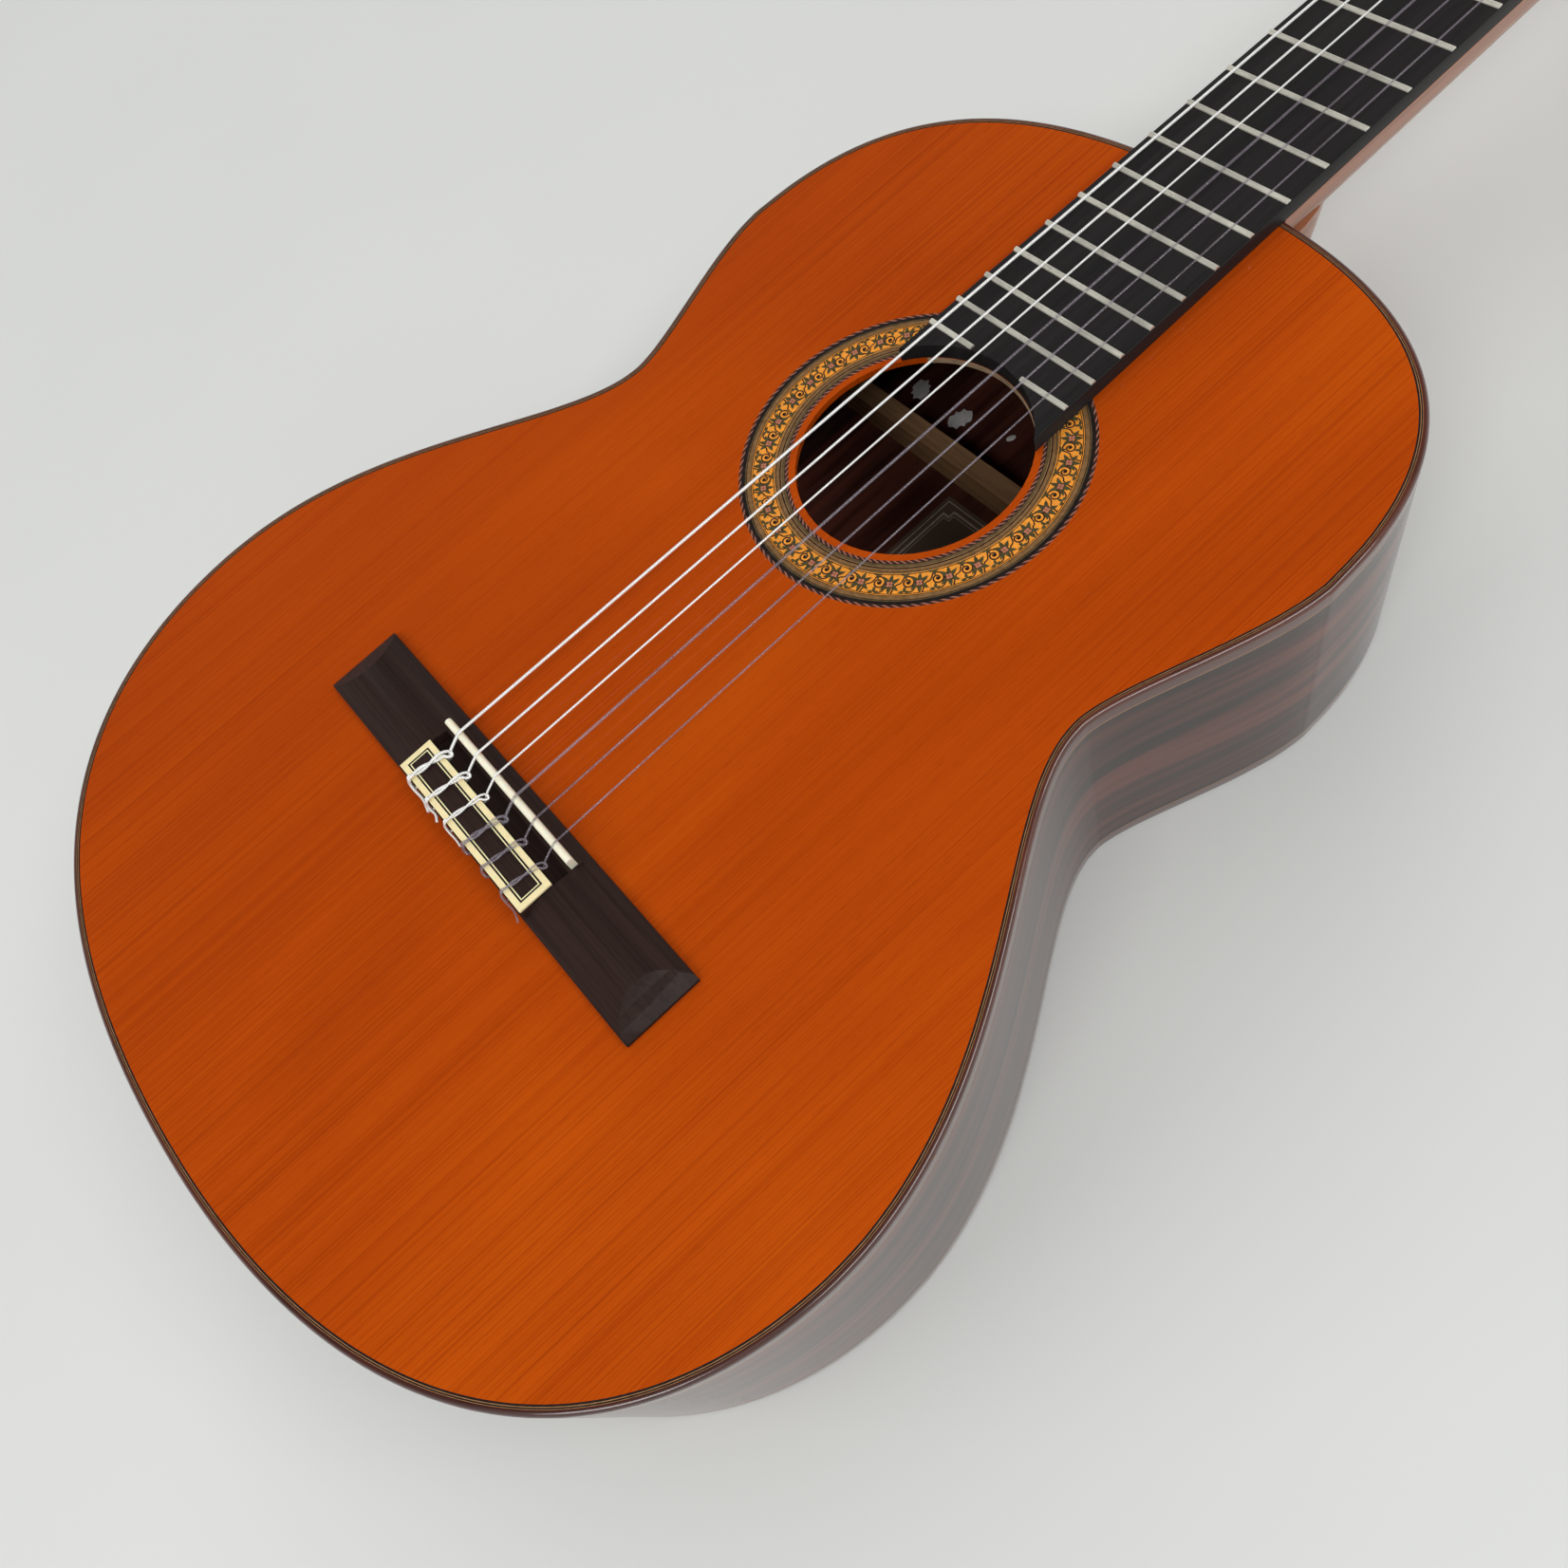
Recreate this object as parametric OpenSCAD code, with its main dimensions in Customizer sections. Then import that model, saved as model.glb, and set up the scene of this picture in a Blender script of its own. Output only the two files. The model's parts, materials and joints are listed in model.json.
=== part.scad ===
// Classical guitar lying on its back. +Y points to the head, +X to the treble side and
// +Z out of the soundboard. The origin is on the outer face of the back, half-way along the body.

/* [Body] */
// Length of the body, from the tail to the neck joint
body_length = 480; // [400:1:580]
// Width across the lower bout
lower_bout_w = 362; // [300:1:436]
// Width across the waist
waist_w = 231; // [190:1:278]
// Width across the upper bout
upper_bout_w = 276; // [230:1:332]
// Depth of the body, with the soundboard and the back
body_depth = 98; // [80:1:120]
// Thickness of the soundboard
top_t = 2.5; // [2:0.1:4]
// Thickness of the back
back_t = 2.5; // [2:0.1:4]
// Thickness of the sides, and width of the bindings that cover their edges
side_t = 2; // [1.6:0.1:3]
// Height of the bindings
binding_h = 6; // [4:0.5:9]
// Width of the line of purfling inside the top binding
purfling_w = 1.2; // [0.8:0.1:2]
// Width of the linings that hold the plates to the sides
lining_w = 7; // [5:0.5:10]
// Height of the linings
lining_h = 12; // [8:1:16]

/* [Soundhole and rosette] */
// Radius of the soundhole
soundhole_r = 41.5; // [34:0.5:50]
// Distance of its centre from the neck joint
soundhole_set = 149; // [124:1:179]
// Width of bare soundboard inside the rosette
rosette_margin = 2.5; // [1.5:0.5:4]
// Width of the line rings inside the mosaic band
inner_lines_w = 5; // [4:0.5:7]
// Width of the mosaic band
mosaic_w = 8.3; // [6:0.1:11]
// Width of the line rings outside the mosaic band
outer_lines_w = 4.7; // [3.5:0.1:7]
// Depth of the rosette's channel in the soundboard
rosette_depth = 1.2; // [0.8:0.1:1.6]

/* [Neck and fingerboard] */
// Length of the strings between nut and saddle, with fret 12 at the neck joint
scale_length = 650; // [540:1:780]
// Number of frets
fret_count = 19; // [12:1:20]
// Width of the neck at the nut
nut_w = 52; // [46:0.5:62]
// Width of the neck at fret 12
joint_w = 62; // [54:0.5:74]
// Thickness of the neck's wood at the nut
neck_nut_t = 21; // [17:0.5:26]
// Thickness of the neck's wood near the heel
neck_heel_t = 24; // [20:0.5:30]
// Thickness of the fingerboard
board_t = 6.5; // [5:0.5:9]
// Thickness of the nut along the strings
nut_t = 5; // [4:0.5:7]
// Height of the nut's string slots above the fingerboard
nut_action = 1.6; // [1:0.1:3]
// Width of a fret's crown
fret_w = 2.2; // [2:0.1:3.2]
// Height of a fret's crown
fret_h = 1.1; // [0.8:0.1:1.4]

/* [Bridge] */
// Length of the bridge across the soundboard
bridge_l = 182; // [160:1:218]
// Width of the bridge along the strings
bridge_w = 28.5; // [26:0.5:34]
// Length of the raised middle part with the tie block
block_l = 74; // [68:1:88]
// Width of the tie block
block_w = 13; // [11:0.5:15]
// Height of the tie block above the soundboard
block_h = 9; // [8:0.5:11]
// Height of the crown of the wings
wing_h = 7.6; // [5:0.2:9]
// Thickness of the saddle
saddle_t = 2.6; // [2.2:0.1:3.2]
// Height of the saddle's crown above the soundboard
saddle_h = 11.5; // [10:0.5:15]
// Spread of the six strings at the saddle
string_spread = 57; // [52:0.5:62]
// Spread of the six strings at the nut
nut_spread = 43; // [38:0.5:45]

/* [Headstock and tuners] */
// Angle by which the head leans back
head_tilt = 14; // [8:1:17]
// Length of the headstock
head_l = 190; // [175:1:225]
// Width of the headstock between the tuner plates
head_w = 72; // [68:1:86]
// Thickness of the headstock's wood
head_t = 20; // [18:0.5:24]
// Thickness of the veneer on the headstock
veneer_t = 2.5; // [1.5:0.5:4]
// Width of each slot
slot_w = 15; // [13:0.5:17]
// Width of the wood between the slots
slot_gap = 16; // [14:0.5:18]
// Distance from the nut to the first pair of rollers
first_roller = 58; // [55:1:62]
// Distance between two rollers
roller_pitch = 35; // [34:0.5:39]
// Radius of a roller
roller_r = 4.9; // [4:0.1:5.5]
// Radial play of the rollers and of the worm shafts in their bores
running_fit = 0.06; // [0.02:0.01:0.1]
// Number of teeth of a tuner's gear wheel
gear_teeth = 14; // [12:1:16]
// Module of the gear and the worm
gear_module = 0.8; // [0.7:0.05:0.9]
// Thickness of a tuner plate
plate_t = 1.5; // [1:0.1:2.5]

/* [Hidden] */
STRINGS = [1, 2, 3, 4, 5, 6];

// Levels and stations along the guitar
tail_y = -body_length / 2;
joint_y = body_length / 2;
top_z = body_depth;
inner_top_z = top_z - top_t;
board_z = top_z + board_t;
nut_y = joint_y + scale_length / 2;
head_y = nut_y + nut_t;
hole_y = joint_y - soundhole_set;

// The body's outline: places along the body as shares of its length, and the pull of each curve
lower_bout_at = 0.281;
waist_at = 0.61;
upper_bout_at = 0.783;
curve_steps = 18;
lower_p = [lower_bout_w / 2, tail_y + lower_bout_at * body_length];
waist_p = [waist_w / 2, tail_y + waist_at * body_length];
upper_p = [upper_bout_w / 2, tail_y + upper_bout_at * body_length];
tail_p = [0, tail_y];
joint_p = [0, joint_y];
function pull_y(a, b, share) = [0, share * (b[1] - a[1])];
OUTLINE = [
  [tail_p, tail_p + [0.83 * lower_p[0], 0], lower_p - pull_y(tail_p, lower_p, 0.41), lower_p],
  [lower_p, lower_p + pull_y(lower_p, waist_p, 0.456), waist_p - pull_y(lower_p, waist_p, 0.215), waist_p],
  [waist_p, waist_p + pull_y(waist_p, upper_p, 0.2), upper_p - pull_y(waist_p, upper_p, 0.3), upper_p],
  [upper_p, upper_p + pull_y(upper_p, joint_p, 0.99), joint_p + [0.29 * upper_p[0], 0], joint_p]];

function bezier(c, t) =
  pow(1 - t, 3) * c[0] + 3 * pow(1 - t, 2) * t * c[1] + 3 * (1 - t) * t * t * c[2] + pow(t, 3) * c[3];
function slope(c, t) =
  pow(1 - t, 2) * (c[1] - c[0]) + 2 * (1 - t) * t * (c[2] - c[1]) + t * t * (c[3] - c[2]);
function unit(v) = v / norm(v);
// A point of the outline moved inwards, at right angles to it
function inset_point(c, t, inset) =
  let (d = unit(slope(c, t))) bezier(c, t) - inset * [d[1], -d[0]];
// The treble half of the outline, from the tail to the neck joint
function half_outline(inset) = [
  for (i = [0 : 3], s = [0 : curve_steps - (i == 3 ? 0 : 1)])
    inset_point(OUTLINE[i], s / curve_steps, inset)];
function mirrored(points) = [for (i = [len(points) - 1 : -1 : 0]) [-points[i][0], points[i][1]]];
function inner_part(points) = [for (i = [1 : len(points) - 2]) points[i]];
function body_outline(inset) = concat(half_outline(inset), mirrored(inner_part(half_outline(inset))));

module body_slice(inset, z_low, z_high) {
  translate([0, 0, z_low]) linear_extrude(z_high - z_low) polygon(body_outline(inset));
}
module body_ring(inset, width, z_low, z_high) {
  translate([0, 0, z_low]) linear_extrude(z_high - z_low) difference() {
    polygon(body_outline(inset));
    polygon(body_outline(inset + width));
  }
}
// A box centred on the middle line, from y_low to y_high and z_low to z_high
module centre_box(width, y_low, y_high, z_low, z_high) {
  translate([-width / 2, y_low, z_low]) cube([width, y_high - y_low, z_high - z_low]);
}
// One half of space, the treble side for side = 1
module half_space(side) {
  far = 2 * body_length;
  translate([side > 0 ? 0 : -far, -far, -far]) cube([far, 2 * far, 2 * far]);
}

/* ---- soundboard and rosette ---- */
rosette_r = soundhole_r + rosette_margin;
mosaic_r = rosette_r + inner_lines_w;
mosaic_out_r = mosaic_r + mosaic_w;
rosette_out_r = mosaic_out_r + outer_lines_w;
far_z = 3 * body_depth;
round_fn = 96;

module disc(r, z_low, z_high) {
  translate([0, hole_y, z_low]) cylinder(h = z_high - z_low, r = r, $fn = round_fn);
}
module rosette_ring(r_in, r_out) {
  difference() {
    disc(r_out, top_z - rosette_depth, top_z);
    disc(r_in, 0, far_z);
  }
}
module soundboard() {
  color("chocolate") difference() {
    body_slice(side_t + purfling_w, inner_top_z, top_z);
    disc(soundhole_r, 0, far_z);
    difference() {
      disc(rosette_out_r, top_z - rosette_depth, far_z);
      disc(rosette_r, 0, far_z);
    }
  }
}
module rosette_lines() {
  color("saddlebrown") {
    rosette_ring(rosette_r, mosaic_r);
    rosette_ring(mosaic_out_r, rosette_out_r);
  }
}
module rosette_mosaic() {
  color("orange") rosette_ring(mosaic_r, mosaic_out_r);
}

/* ---- back, sides and edges ---- */
strip_w = 6;
strip_depth = 1;
graft_w = 20;
neck_core_w = 50;

module centre_strip_bar() {
  centre_box(strip_w, tail_y + side_t + lining_w, joint_y - side_t - lining_w, 0, strip_depth);
}
module back() {
  color([0.3, 0.13, 0.1]) difference() {
    body_slice(side_t, 0, back_t);
    centre_strip_bar();
  }
}
module back_centre_strip() {
  color("tan") centre_strip_bar();
}
// The sides stop in slots beside the neck's core
module rim() {
  difference() {
    body_ring(0, side_t, binding_h, top_z - binding_h);
    centre_box(neck_core_w, 0, 2 * joint_y, 0, top_z);
  }
}
module graft_box(width) {
  centre_box(width, 2 * tail_y, tail_y / 2, 0, top_z);
}
module side(side) {
  color([0.3, 0.13, 0.1]) intersection() {
    difference() {
      rim();
      graft_box(graft_w);
    }
    half_space(side);
  }
}
module side_bass() { side(-1); }
module side_treble() { side(1); }
module end_graft() {
  color([0.2, 0.09, 0.07]) intersection() {
    rim();
    graft_box(graft_w);
  }
}
module top_binding() {
  color([0.35, 0.14, 0.09]) body_ring(0, side_t, top_z - binding_h, top_z);
}
module back_binding() {
  color([0.35, 0.14, 0.09]) body_ring(0, side_t, 0, binding_h);
}
module top_purfling() {
  color("black") body_ring(side_t, purfling_w, inner_top_z, top_z);
}

/* ---- inside the body ---- */
tail_block_w = 70;
tail_block_t = 16;
foot_w = 62;
foot_l = 34;
brace_w = 6;
brace_h = 5;
fan_count = 7;
fan_spread_top = 17;
fan_spread_tail = 30;
bar_w = 7;
top_bar_h = 16;
back_bar_w = 9;
back_bar_h = 14;
// Back bars, as distances from the neck joint
BACK_BARS = [102, 225, 350];
lower_bar_y = hole_y - rosette_out_r + 6;
upper_bar_y = hole_y + soundhole_r + 20;
foot_y = joint_y - side_t - foot_l;
block_y = tail_y + side_t + tail_block_t;

module inner_slice(clearance, z_low, z_high) {
  body_slice(side_t + clearance, z_low, z_high);
}
module linings() {
  color("burlywood") difference() {
    union() {
      body_ring(side_t, lining_w, inner_top_z - lining_h, inner_top_z);
      body_ring(side_t, lining_w, back_t, back_t + lining_h);
    }
    centre_box(tail_block_w, 2 * tail_y, 0, 0, far_z);
    centre_box(foot_w, 0, 2 * joint_y, 0, far_z);
  }
}
module tail_block() {
  color("peru") intersection() {
    inner_slice(0, back_t, inner_top_z);
    centre_box(tail_block_w, 2 * tail_y, block_y, 0, far_z);
  }
}
// Fan brace i leans outwards from the lower harmonic bar towards the tail
module fan_brace(i) {
  top_x = i * fan_spread_top;
  low_x = i * fan_spread_tail;
  top_y = lower_bar_y - bar_w / 2;
  low_y = tail_y + 40;
  run = [low_x - top_x, low_y - top_y];
  translate([top_x, top_y, inner_top_z - brace_h]) rotate([0, 0, atan2(run[1], run[0])])
    translate([6, -brace_w / 2, 0]) cube([norm(run) - 6, brace_w, brace_h]);
}
module fan_braces() {
  color("wheat") intersection() {
    union() for (i = [0 : fan_count - 1]) fan_brace(i - (fan_count - 1) / 2);
    inner_slice(lining_w + 2, 0, inner_top_z);
  }
}
module cross_bar(y, width, z_low, z_high) {
  intersection() {
    centre_box(lower_bout_w + upper_bout_w, y - width / 2, y + width / 2, z_low, z_high);
    inner_slice(lining_w, z_low, z_high);
  }
}
module harmonic_bars() {
  color("wheat") {
    cross_bar(lower_bar_y, bar_w, inner_top_z - top_bar_h, inner_top_z);
    cross_bar(upper_bar_y, bar_w, inner_top_z - top_bar_h, inner_top_z);
  }
}
module back_bars() {
  color("wheat") for (set = BACK_BARS) cross_bar(joint_y - set, back_bar_w, back_t, back_t + back_bar_h);
}
label_w = 78;
label_l = 64;
label_t = 0.25;
label_y = joint_y - BACK_BARS[0] - back_bar_w / 2 - 6 - label_l;
module label() {
  color("khaki") centre_box(label_w, label_y, label_y + label_l, back_t, back_t + label_t);
}

/* ---- neck ---- */
heel_cap_t = 3;
heel_l = 46;
heel_tip_l = 24;
heel_tip_w = 26;
profile_steps = 18;
profile_power = 0.72;
neck_stations = 10;
heel_stations = 10;

function neck_half_w(y) = nut_w / 2 + (joint_w - nut_w) / 2 * (nut_y - y) / (nut_y - joint_y);
function neck_depth(y) =
  neck_nut_t + (neck_heel_t - neck_nut_t) * min(1, (head_y - y) / (head_y - joint_y - heel_l));
// Half-round section of the neck under its flat top, from the treble edge round to the bass edge
function neck_section(y) = [
  for (i = [0 : profile_steps]) let (a = 180 * i / profile_steps)
    [neck_half_w(y) * cos(a), y, top_z - neck_depth(y) * pow(sin(a), profile_power)]];
// A closed solid through equal rings of points, each anticlockwise seen from the next
module loft(rings) {
  n = len(rings[0]);
  m = len(rings);
  points = [for (r = rings, p = r) p];
  walls = [for (j = [0 : m - 2], i = [0 : n - 1]) each [
    [j * n + i, (j + 1) * n + i, j * n + (i + 1) % n],
    [j * n + (i + 1) % n, (j + 1) * n + i, (j + 1) * n + (i + 1) % n]]];
  first_cap = [[for (i = [0 : n - 1]) i]];
  last_cap = [[for (i = [n - 1 : -1 : 0]) (m - 1) * n + i]];
  polyhedron(points = points, faces = concat(walls, first_cap, last_cap), convexity = 8);
}
// The heel narrows in a hollow curve from the neck's width down to the cap
function heel_share(t) = pow(1 - t, 2.2);
function heel_ring(t) =
  let (z = heel_cap_t + (top_z - neck_heel_t / 2 - heel_cap_t) * t,
       half = heel_tip_w / 2 + (joint_w / 2 - heel_tip_w / 2) * (1 - heel_share(t)),
       reach = heel_tip_l + (heel_l - heel_tip_l) * pow(t, 2.5))
  concat([[half, joint_y - side_t - 6, z]],
         [for (i = [0 : profile_steps]) let (a = 180 * i / profile_steps)
           [half * cos(a), joint_y + reach * pow(sin(a), 0.8), z]],
         [[-half, joint_y - side_t - 6, z]]);
module neck_foot() {
  intersection() {
    inner_slice(0, back_t, inner_top_z);
    centre_box(foot_w, foot_y, 2 * joint_y, 0, far_z);
  }
}
module neck() {
  color("rosybrown") {
    difference() {
      union() {
        loft([for (i = [0 : neck_stations])
          neck_section(joint_y - 6 + (head_y - joint_y + 6) * i / neck_stations)]);
        loft([for (i = [0 : heel_stations]) heel_ring(i / heel_stations)]);
      }
      body_slice(0, -1, far_z);
    }
    neck_foot();
    intersection() {
      body_slice(0, binding_h, top_z - binding_h);
      centre_box(neck_core_w, joint_y - side_t - 3, joint_y + 1, 0, far_z);
    }
  }
}
module heel_cap() {
  color([0.3, 0.13, 0.1]) difference() {
    translate([0, joint_y, 0]) linear_extrude(heel_cap_t)
      polygon([for (p = heel_ring(0)) [p[0], p[1] - joint_y]]);
    body_slice(0, -1, far_z);
  }
}

/* ---- fingerboard, frets and nut ---- */
board_end_y = hole_y;
function fret_y(n) = nut_y - scale_length * (1 - pow(2, -n / 12));

module fingerboard() {
  color([0.16, 0.11, 0.1]) difference() {
    translate([0, 0, top_z]) linear_extrude(board_t) polygon([
      [neck_half_w(nut_y), nut_y], [-neck_half_w(nut_y), nut_y],
      [-neck_half_w(board_end_y), board_end_y], [neck_half_w(board_end_y), board_end_y]]);
    disc(soundhole_r, 0, far_z);
    centre_box(joint_w * 2, board_end_y - 1, hole_y + 0.55 * soundhole_r, top_z - 1, far_z);
  }
}
// The crown of a fret: the cap of a circle, lying on the fingerboard
module fret(n) {
  r = (fret_w * fret_w / 4 + fret_h * fret_h) / (2 * fret_h);
  half = neck_half_w(fret_y(n)) - 0.3;
  translate([-half, fret_y(n), board_z]) rotate([90, 0, 90]) linear_extrude(2 * half) intersection() {
    translate([0, fret_h - r]) circle(r = r, $fn = 48);
    translate([-fret_w, 0]) square([2 * fret_w, fret_h]);
  }
}
// Half the width of the soundhole's gap in a fret whose crown reaches over it
function hole_gap(n) =
  sqrt(max(0, soundhole_r * soundhole_r - pow(max(0, fret_y(n) - fret_w / 2 - hole_y), 2)));
module frets() {
  color("silver") for (n = [1 : fret_count]) difference() {
    fret(n);
    if (hole_gap(n) > 0) centre_box(2 * hole_gap(n), fret_y(n) - 9, fret_y(n) + 9, 0, far_z);
  }
}

/* ---- strings, nut and saddle ---- */
// Radii of the strings, from the first, at the treble edge, to the sixth
STRING_R = [0.36, 0.41, 0.51, 0.38, 0.46, 0.55];
gap = 0.05;
saddle_y = nut_y - scale_length - 1.5;
saddle_top = top_z + saddle_h;
function share_across(k) = (3.5 - k) / 5;
function saddle_x(k) = share_across(k) * string_spread;
function nut_x(k) = share_across(k) * nut_spread;
function nut_string_z(k) = board_z + nut_action + STRING_R[k - 1];

module nut() {
  rise = nut_action + 1.2;
  color("ivory") difference() {
    intersection() {
      centre_box(nut_w, nut_y, head_y, top_z, board_z + rise);
      translate([-nut_w, nut_y, board_z + rise - 2 * nut_t]) rotate([0, 90, 0])
        cylinder(h = 2 * nut_w, r = 2 * nut_t, $fn = round_fn);
    }
    for (k = STRINGS) translate([nut_x(k), nut_y - 1, nut_string_z(k)]) rotate([-90, 0, 0])
      cylinder(h = nut_t + 2, r = STRING_R[k - 1] + gap, $fn = 24);
    for (k = STRINGS) translate([nut_x(k) - STRING_R[k - 1] - gap, nut_y - 1, nut_string_z(k)])
      cube([2 * STRING_R[k - 1] + 2 * gap, nut_t + 2, 2 * rise]);
  }
}

/* ---- bridge ---- */
front_lip = 4.3;
back_lip = 1.3;
bridge_front = saddle_y + saddle_t / 2 + front_lip;
bridge_back = bridge_front - bridge_w;
block_back = bridge_back + back_lip;
block_front = block_back + block_w;
rib_wall = 1.4;
channel_front = saddle_y - saddle_t / 2 - rib_wall;
channel_floor = 2.5;
rib_h = 6.4;
wing_edge_h = 2.4;
wing_end_h = 1.4;
saddle_seat = 3;
saddle_l = block_l - 1;
wing_end_w = 11;
tie_hole_z = top_z + 5;
tie_hole_play = 0.15;
inlay_t = 1;
inlay_w = 2.25;

// Arched section of the whole bridge: a cap of a circle over low edges
module bridge_arch() {
  rise = wing_h - wing_edge_h;
  r = (bridge_w * bridge_w / 4 + rise * rise) / (2 * rise);
  translate([-bridge_l / 2, (bridge_front + bridge_back) / 2, top_z]) rotate([90, 0, 90])
    linear_extrude(bridge_l) intersection() {
      translate([0, wing_h - r]) circle(r = r, $fn = round_fn);
      translate([-bridge_w / 2, 0]) square([bridge_w, wing_h]);
    }
}
// What the sloping facet at the end of a wing takes off
module end_cut(side) {
  slope_angle = atan2(wing_h - wing_end_h, wing_end_w);
  translate([side * bridge_l / 2, bridge_back - 1, top_z + wing_end_h]) rotate([0, side * slope_angle, 0])
    translate([-2 * wing_end_w, 0, 0]) cube([4 * wing_end_w, bridge_w + 2, 4 * wing_h]);
}
module bridge() {
  color([0.22, 0.13, 0.11]) difference() {
    union() {
      difference() {
        bridge_arch();
        for (side = [-1, 1]) end_cut(side);
        centre_box(block_l, bridge_back - 1, channel_front, top_z + channel_floor, far_z);
      }
      centre_box(block_l, channel_front, saddle_y + saddle_t / 2 + rib_wall, top_z, top_z + rib_h);
      centre_box(block_l, block_back, block_front, top_z, top_z + block_h);
    }
    inlay();
    saddle_bar();
    for (k = STRINGS) translate([saddle_x(k), block_back - 1, tie_hole_z]) rotate([-90, 0, 0])
      cylinder(h = block_w + 2, r = STRING_R[k - 1] + tie_hole_play, $fn = 24);
  }
}
module inlay() {
  difference() {
    centre_box(block_l, block_back, block_front, top_z + block_h - inlay_t, top_z + block_h);
    centre_box(block_l - 2 * inlay_w, block_back + inlay_w, block_front - inlay_w, top_z, far_z);
  }
}
module tie_block_inlay() {
  color("cornsilk") inlay();
}
module saddle_bar() {
  crown = saddle_t / 2;
  centre_box(saddle_l, saddle_y - crown, saddle_y + crown, top_z + saddle_seat, saddle_top - crown);
  translate([-saddle_l / 2, saddle_y, saddle_top - crown]) rotate([0, 90, 0])
    cylinder(h = saddle_l, r = crown, $fn = 48);
}
module saddle() {
  color("ivory") saddle_bar();
}

/* ---- headstock ---- */
slot_x = slot_gap / 2 + slot_w / 2;
roller_v = -head_t / 2 + 1;
neck_flare_l = 24;
crest_l = 26;
last_roller = first_roller + 2 * roller_pitch;
slot_start = first_roller - 30;
slot_end = last_roller + 14;

module on_head() {
  translate([0, head_y, top_z]) rotate([-head_tilt, 0, 0]) children();
}
// Half of the headstock's outline: the flare behind the nut, a straight side and a curved crest
function head_half() =
  let (w = nut_w / 2, s = head_w / 2, top = head_l - crest_l)
  concat(
    [for (i = [0 : 8]) bezier([[w, -10], [w, neck_flare_l * 0.5], [s, neck_flare_l * 0.5],
                               [s, neck_flare_l]], i / 8)],
    [for (i = [0 : 8]) bezier([[s, top], [s, top + crest_l * 0.5], [s * 0.62, top + crest_l * 0.4],
                               [s * 0.58, top + crest_l * 0.75]], i / 8)],
    [for (i = [1 : 8]) bezier([[s * 0.58, top + crest_l * 0.75], [s * 0.4, top + crest_l * 0.78],
                               [s * 0.22, head_l], [0, head_l]], i / 8)]);
module head_plan() {
  polygon(concat(head_half(), mirrored(inner_part(concat([[0, 0]], head_half())))));
}
// A slot with round ends and a ramp that lets the strings down to the rollers
module head_slot(side) {
  r = slot_w / 2;
  ramp_l = 16;
  ramp_angle = 32;
  translate([side * slot_x, 0, -2 * head_t]) {
    translate([0, slot_start + r, 0]) cylinder(h = 3 * head_t, r = r, $fn = 48);
    translate([0, slot_end - r, 0]) cylinder(h = 3 * head_t, r = r, $fn = 48);
    translate([-r, slot_start + r, 0]) cube([slot_w, slot_end - slot_start - slot_w, 3 * head_t]);
  }
  translate([side * slot_x - r, slot_start + r - ramp_l, veneer_t]) rotate([-ramp_angle, 0, 0])
    cube([slot_w, ramp_l, head_t]);
}
screw_r = 1.1;
screw_head_r = 2;
screw_l = 9;
plate_w = 15;
plate_ends = 9;
plate_low = first_roller - 17;
SCREWS = concat([plate_low], [for (i = [0 : 2]) first_roller + i * roller_pitch + 14.5]);
pin_r = 3;
pin_l = slot_gap / 2 - 2.5;

module roller_at(row) {
  translate([0, first_roller + row * roller_pitch, roller_v]) children();
}
// A cylinder along X, from x_low to x_high
module x_rod(r, x_low, x_high) {
  translate([x_low, 0, 0]) rotate([0, 90, 0]) cylinder(h = x_high - x_low, r = r, $fn = 48);
}
module roller_bores(side) {
  mirror([side > 0 ? 0 : 1, 0, 0]) for (row = [0 : 2]) roller_at(row) {
    x_rod(roller_r + running_fit, slot_gap / 2 + slot_w / 2, head_w);
    x_rod(pin_r + running_fit, slot_gap / 2 - pin_l - 0.3, slot_gap / 2 + 1);
  }
}
module at_screws(side) {
  mirror([side > 0 ? 0 : 1, 0, 0]) for (u = SCREWS) translate([0, u, roller_v]) children();
}
module headstock() {
  color("rosybrown") difference() {
    on_head() difference() {
      translate([0, 0, -head_t]) linear_extrude(head_t) head_plan();
      for (side = [-1, 1]) {
        head_slot(side);
        roller_bores(side);
        at_screws(side) x_rod(screw_r, head_w / 2 - screw_l, head_w);
      }
    }
    centre_box(2 * head_w, 0, head_y, 0, far_z);
  }
}
module head_veneer() {
  color([0.3, 0.13, 0.1]) difference() {
    on_head() difference() {
      linear_extrude(veneer_t) head_plan();
      for (side = [-1, 1]) head_slot(side);
    }
    centre_box(2 * head_w, 0, head_y, 0, far_z);
  }
}

/* ---- tuning machines ---- */
gear_w = 3;
gear_pitch_r = gear_teeth * gear_module / 2;
gear_tip_r = gear_pitch_r + 0.75 * gear_module;
gear_root_r = gear_pitch_r - 1.2 * gear_module;
worm_pitch_r = 2.6;
worm_tip_r = worm_pitch_r + gear_module;
worm_core_r = worm_pitch_r - 1.1 * gear_module;
worm_set = gear_pitch_r + worm_pitch_r + 0.1;
// The gears and the worms share a plane in which the worm clears the plate
worm_gap = 0.4;
gear_x = head_w / 2 + plate_t + worm_tip_r + worm_gap;
lead = PI * gear_module;
worm_turns = 4;
worm_l = lead * worm_turns;
shaft_r = 1.5;
lug_t = 2.2;
lug_gap = 0.25;
lug_r = 3;
gear_shaft_r = 2.4;
gear_cap_t = 0.8;
gear_screw_r = 2;
gear_screw_h = 1.2;
button_neck_l = 5;
collar_r = 3;
button_h = 14;
button_w = 17;
button_t = 8;
// How far the collar sinks into the grip
button_seat = 1.2;
thread_steps = 20;
thread_rows = 10;

// Row of a string's roller, and the side it is on
function row_of(k) = k <= 3 ? k - 1 : 6 - k;
function side_of(k) = k <= 3 ? 1 : -1;
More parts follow.
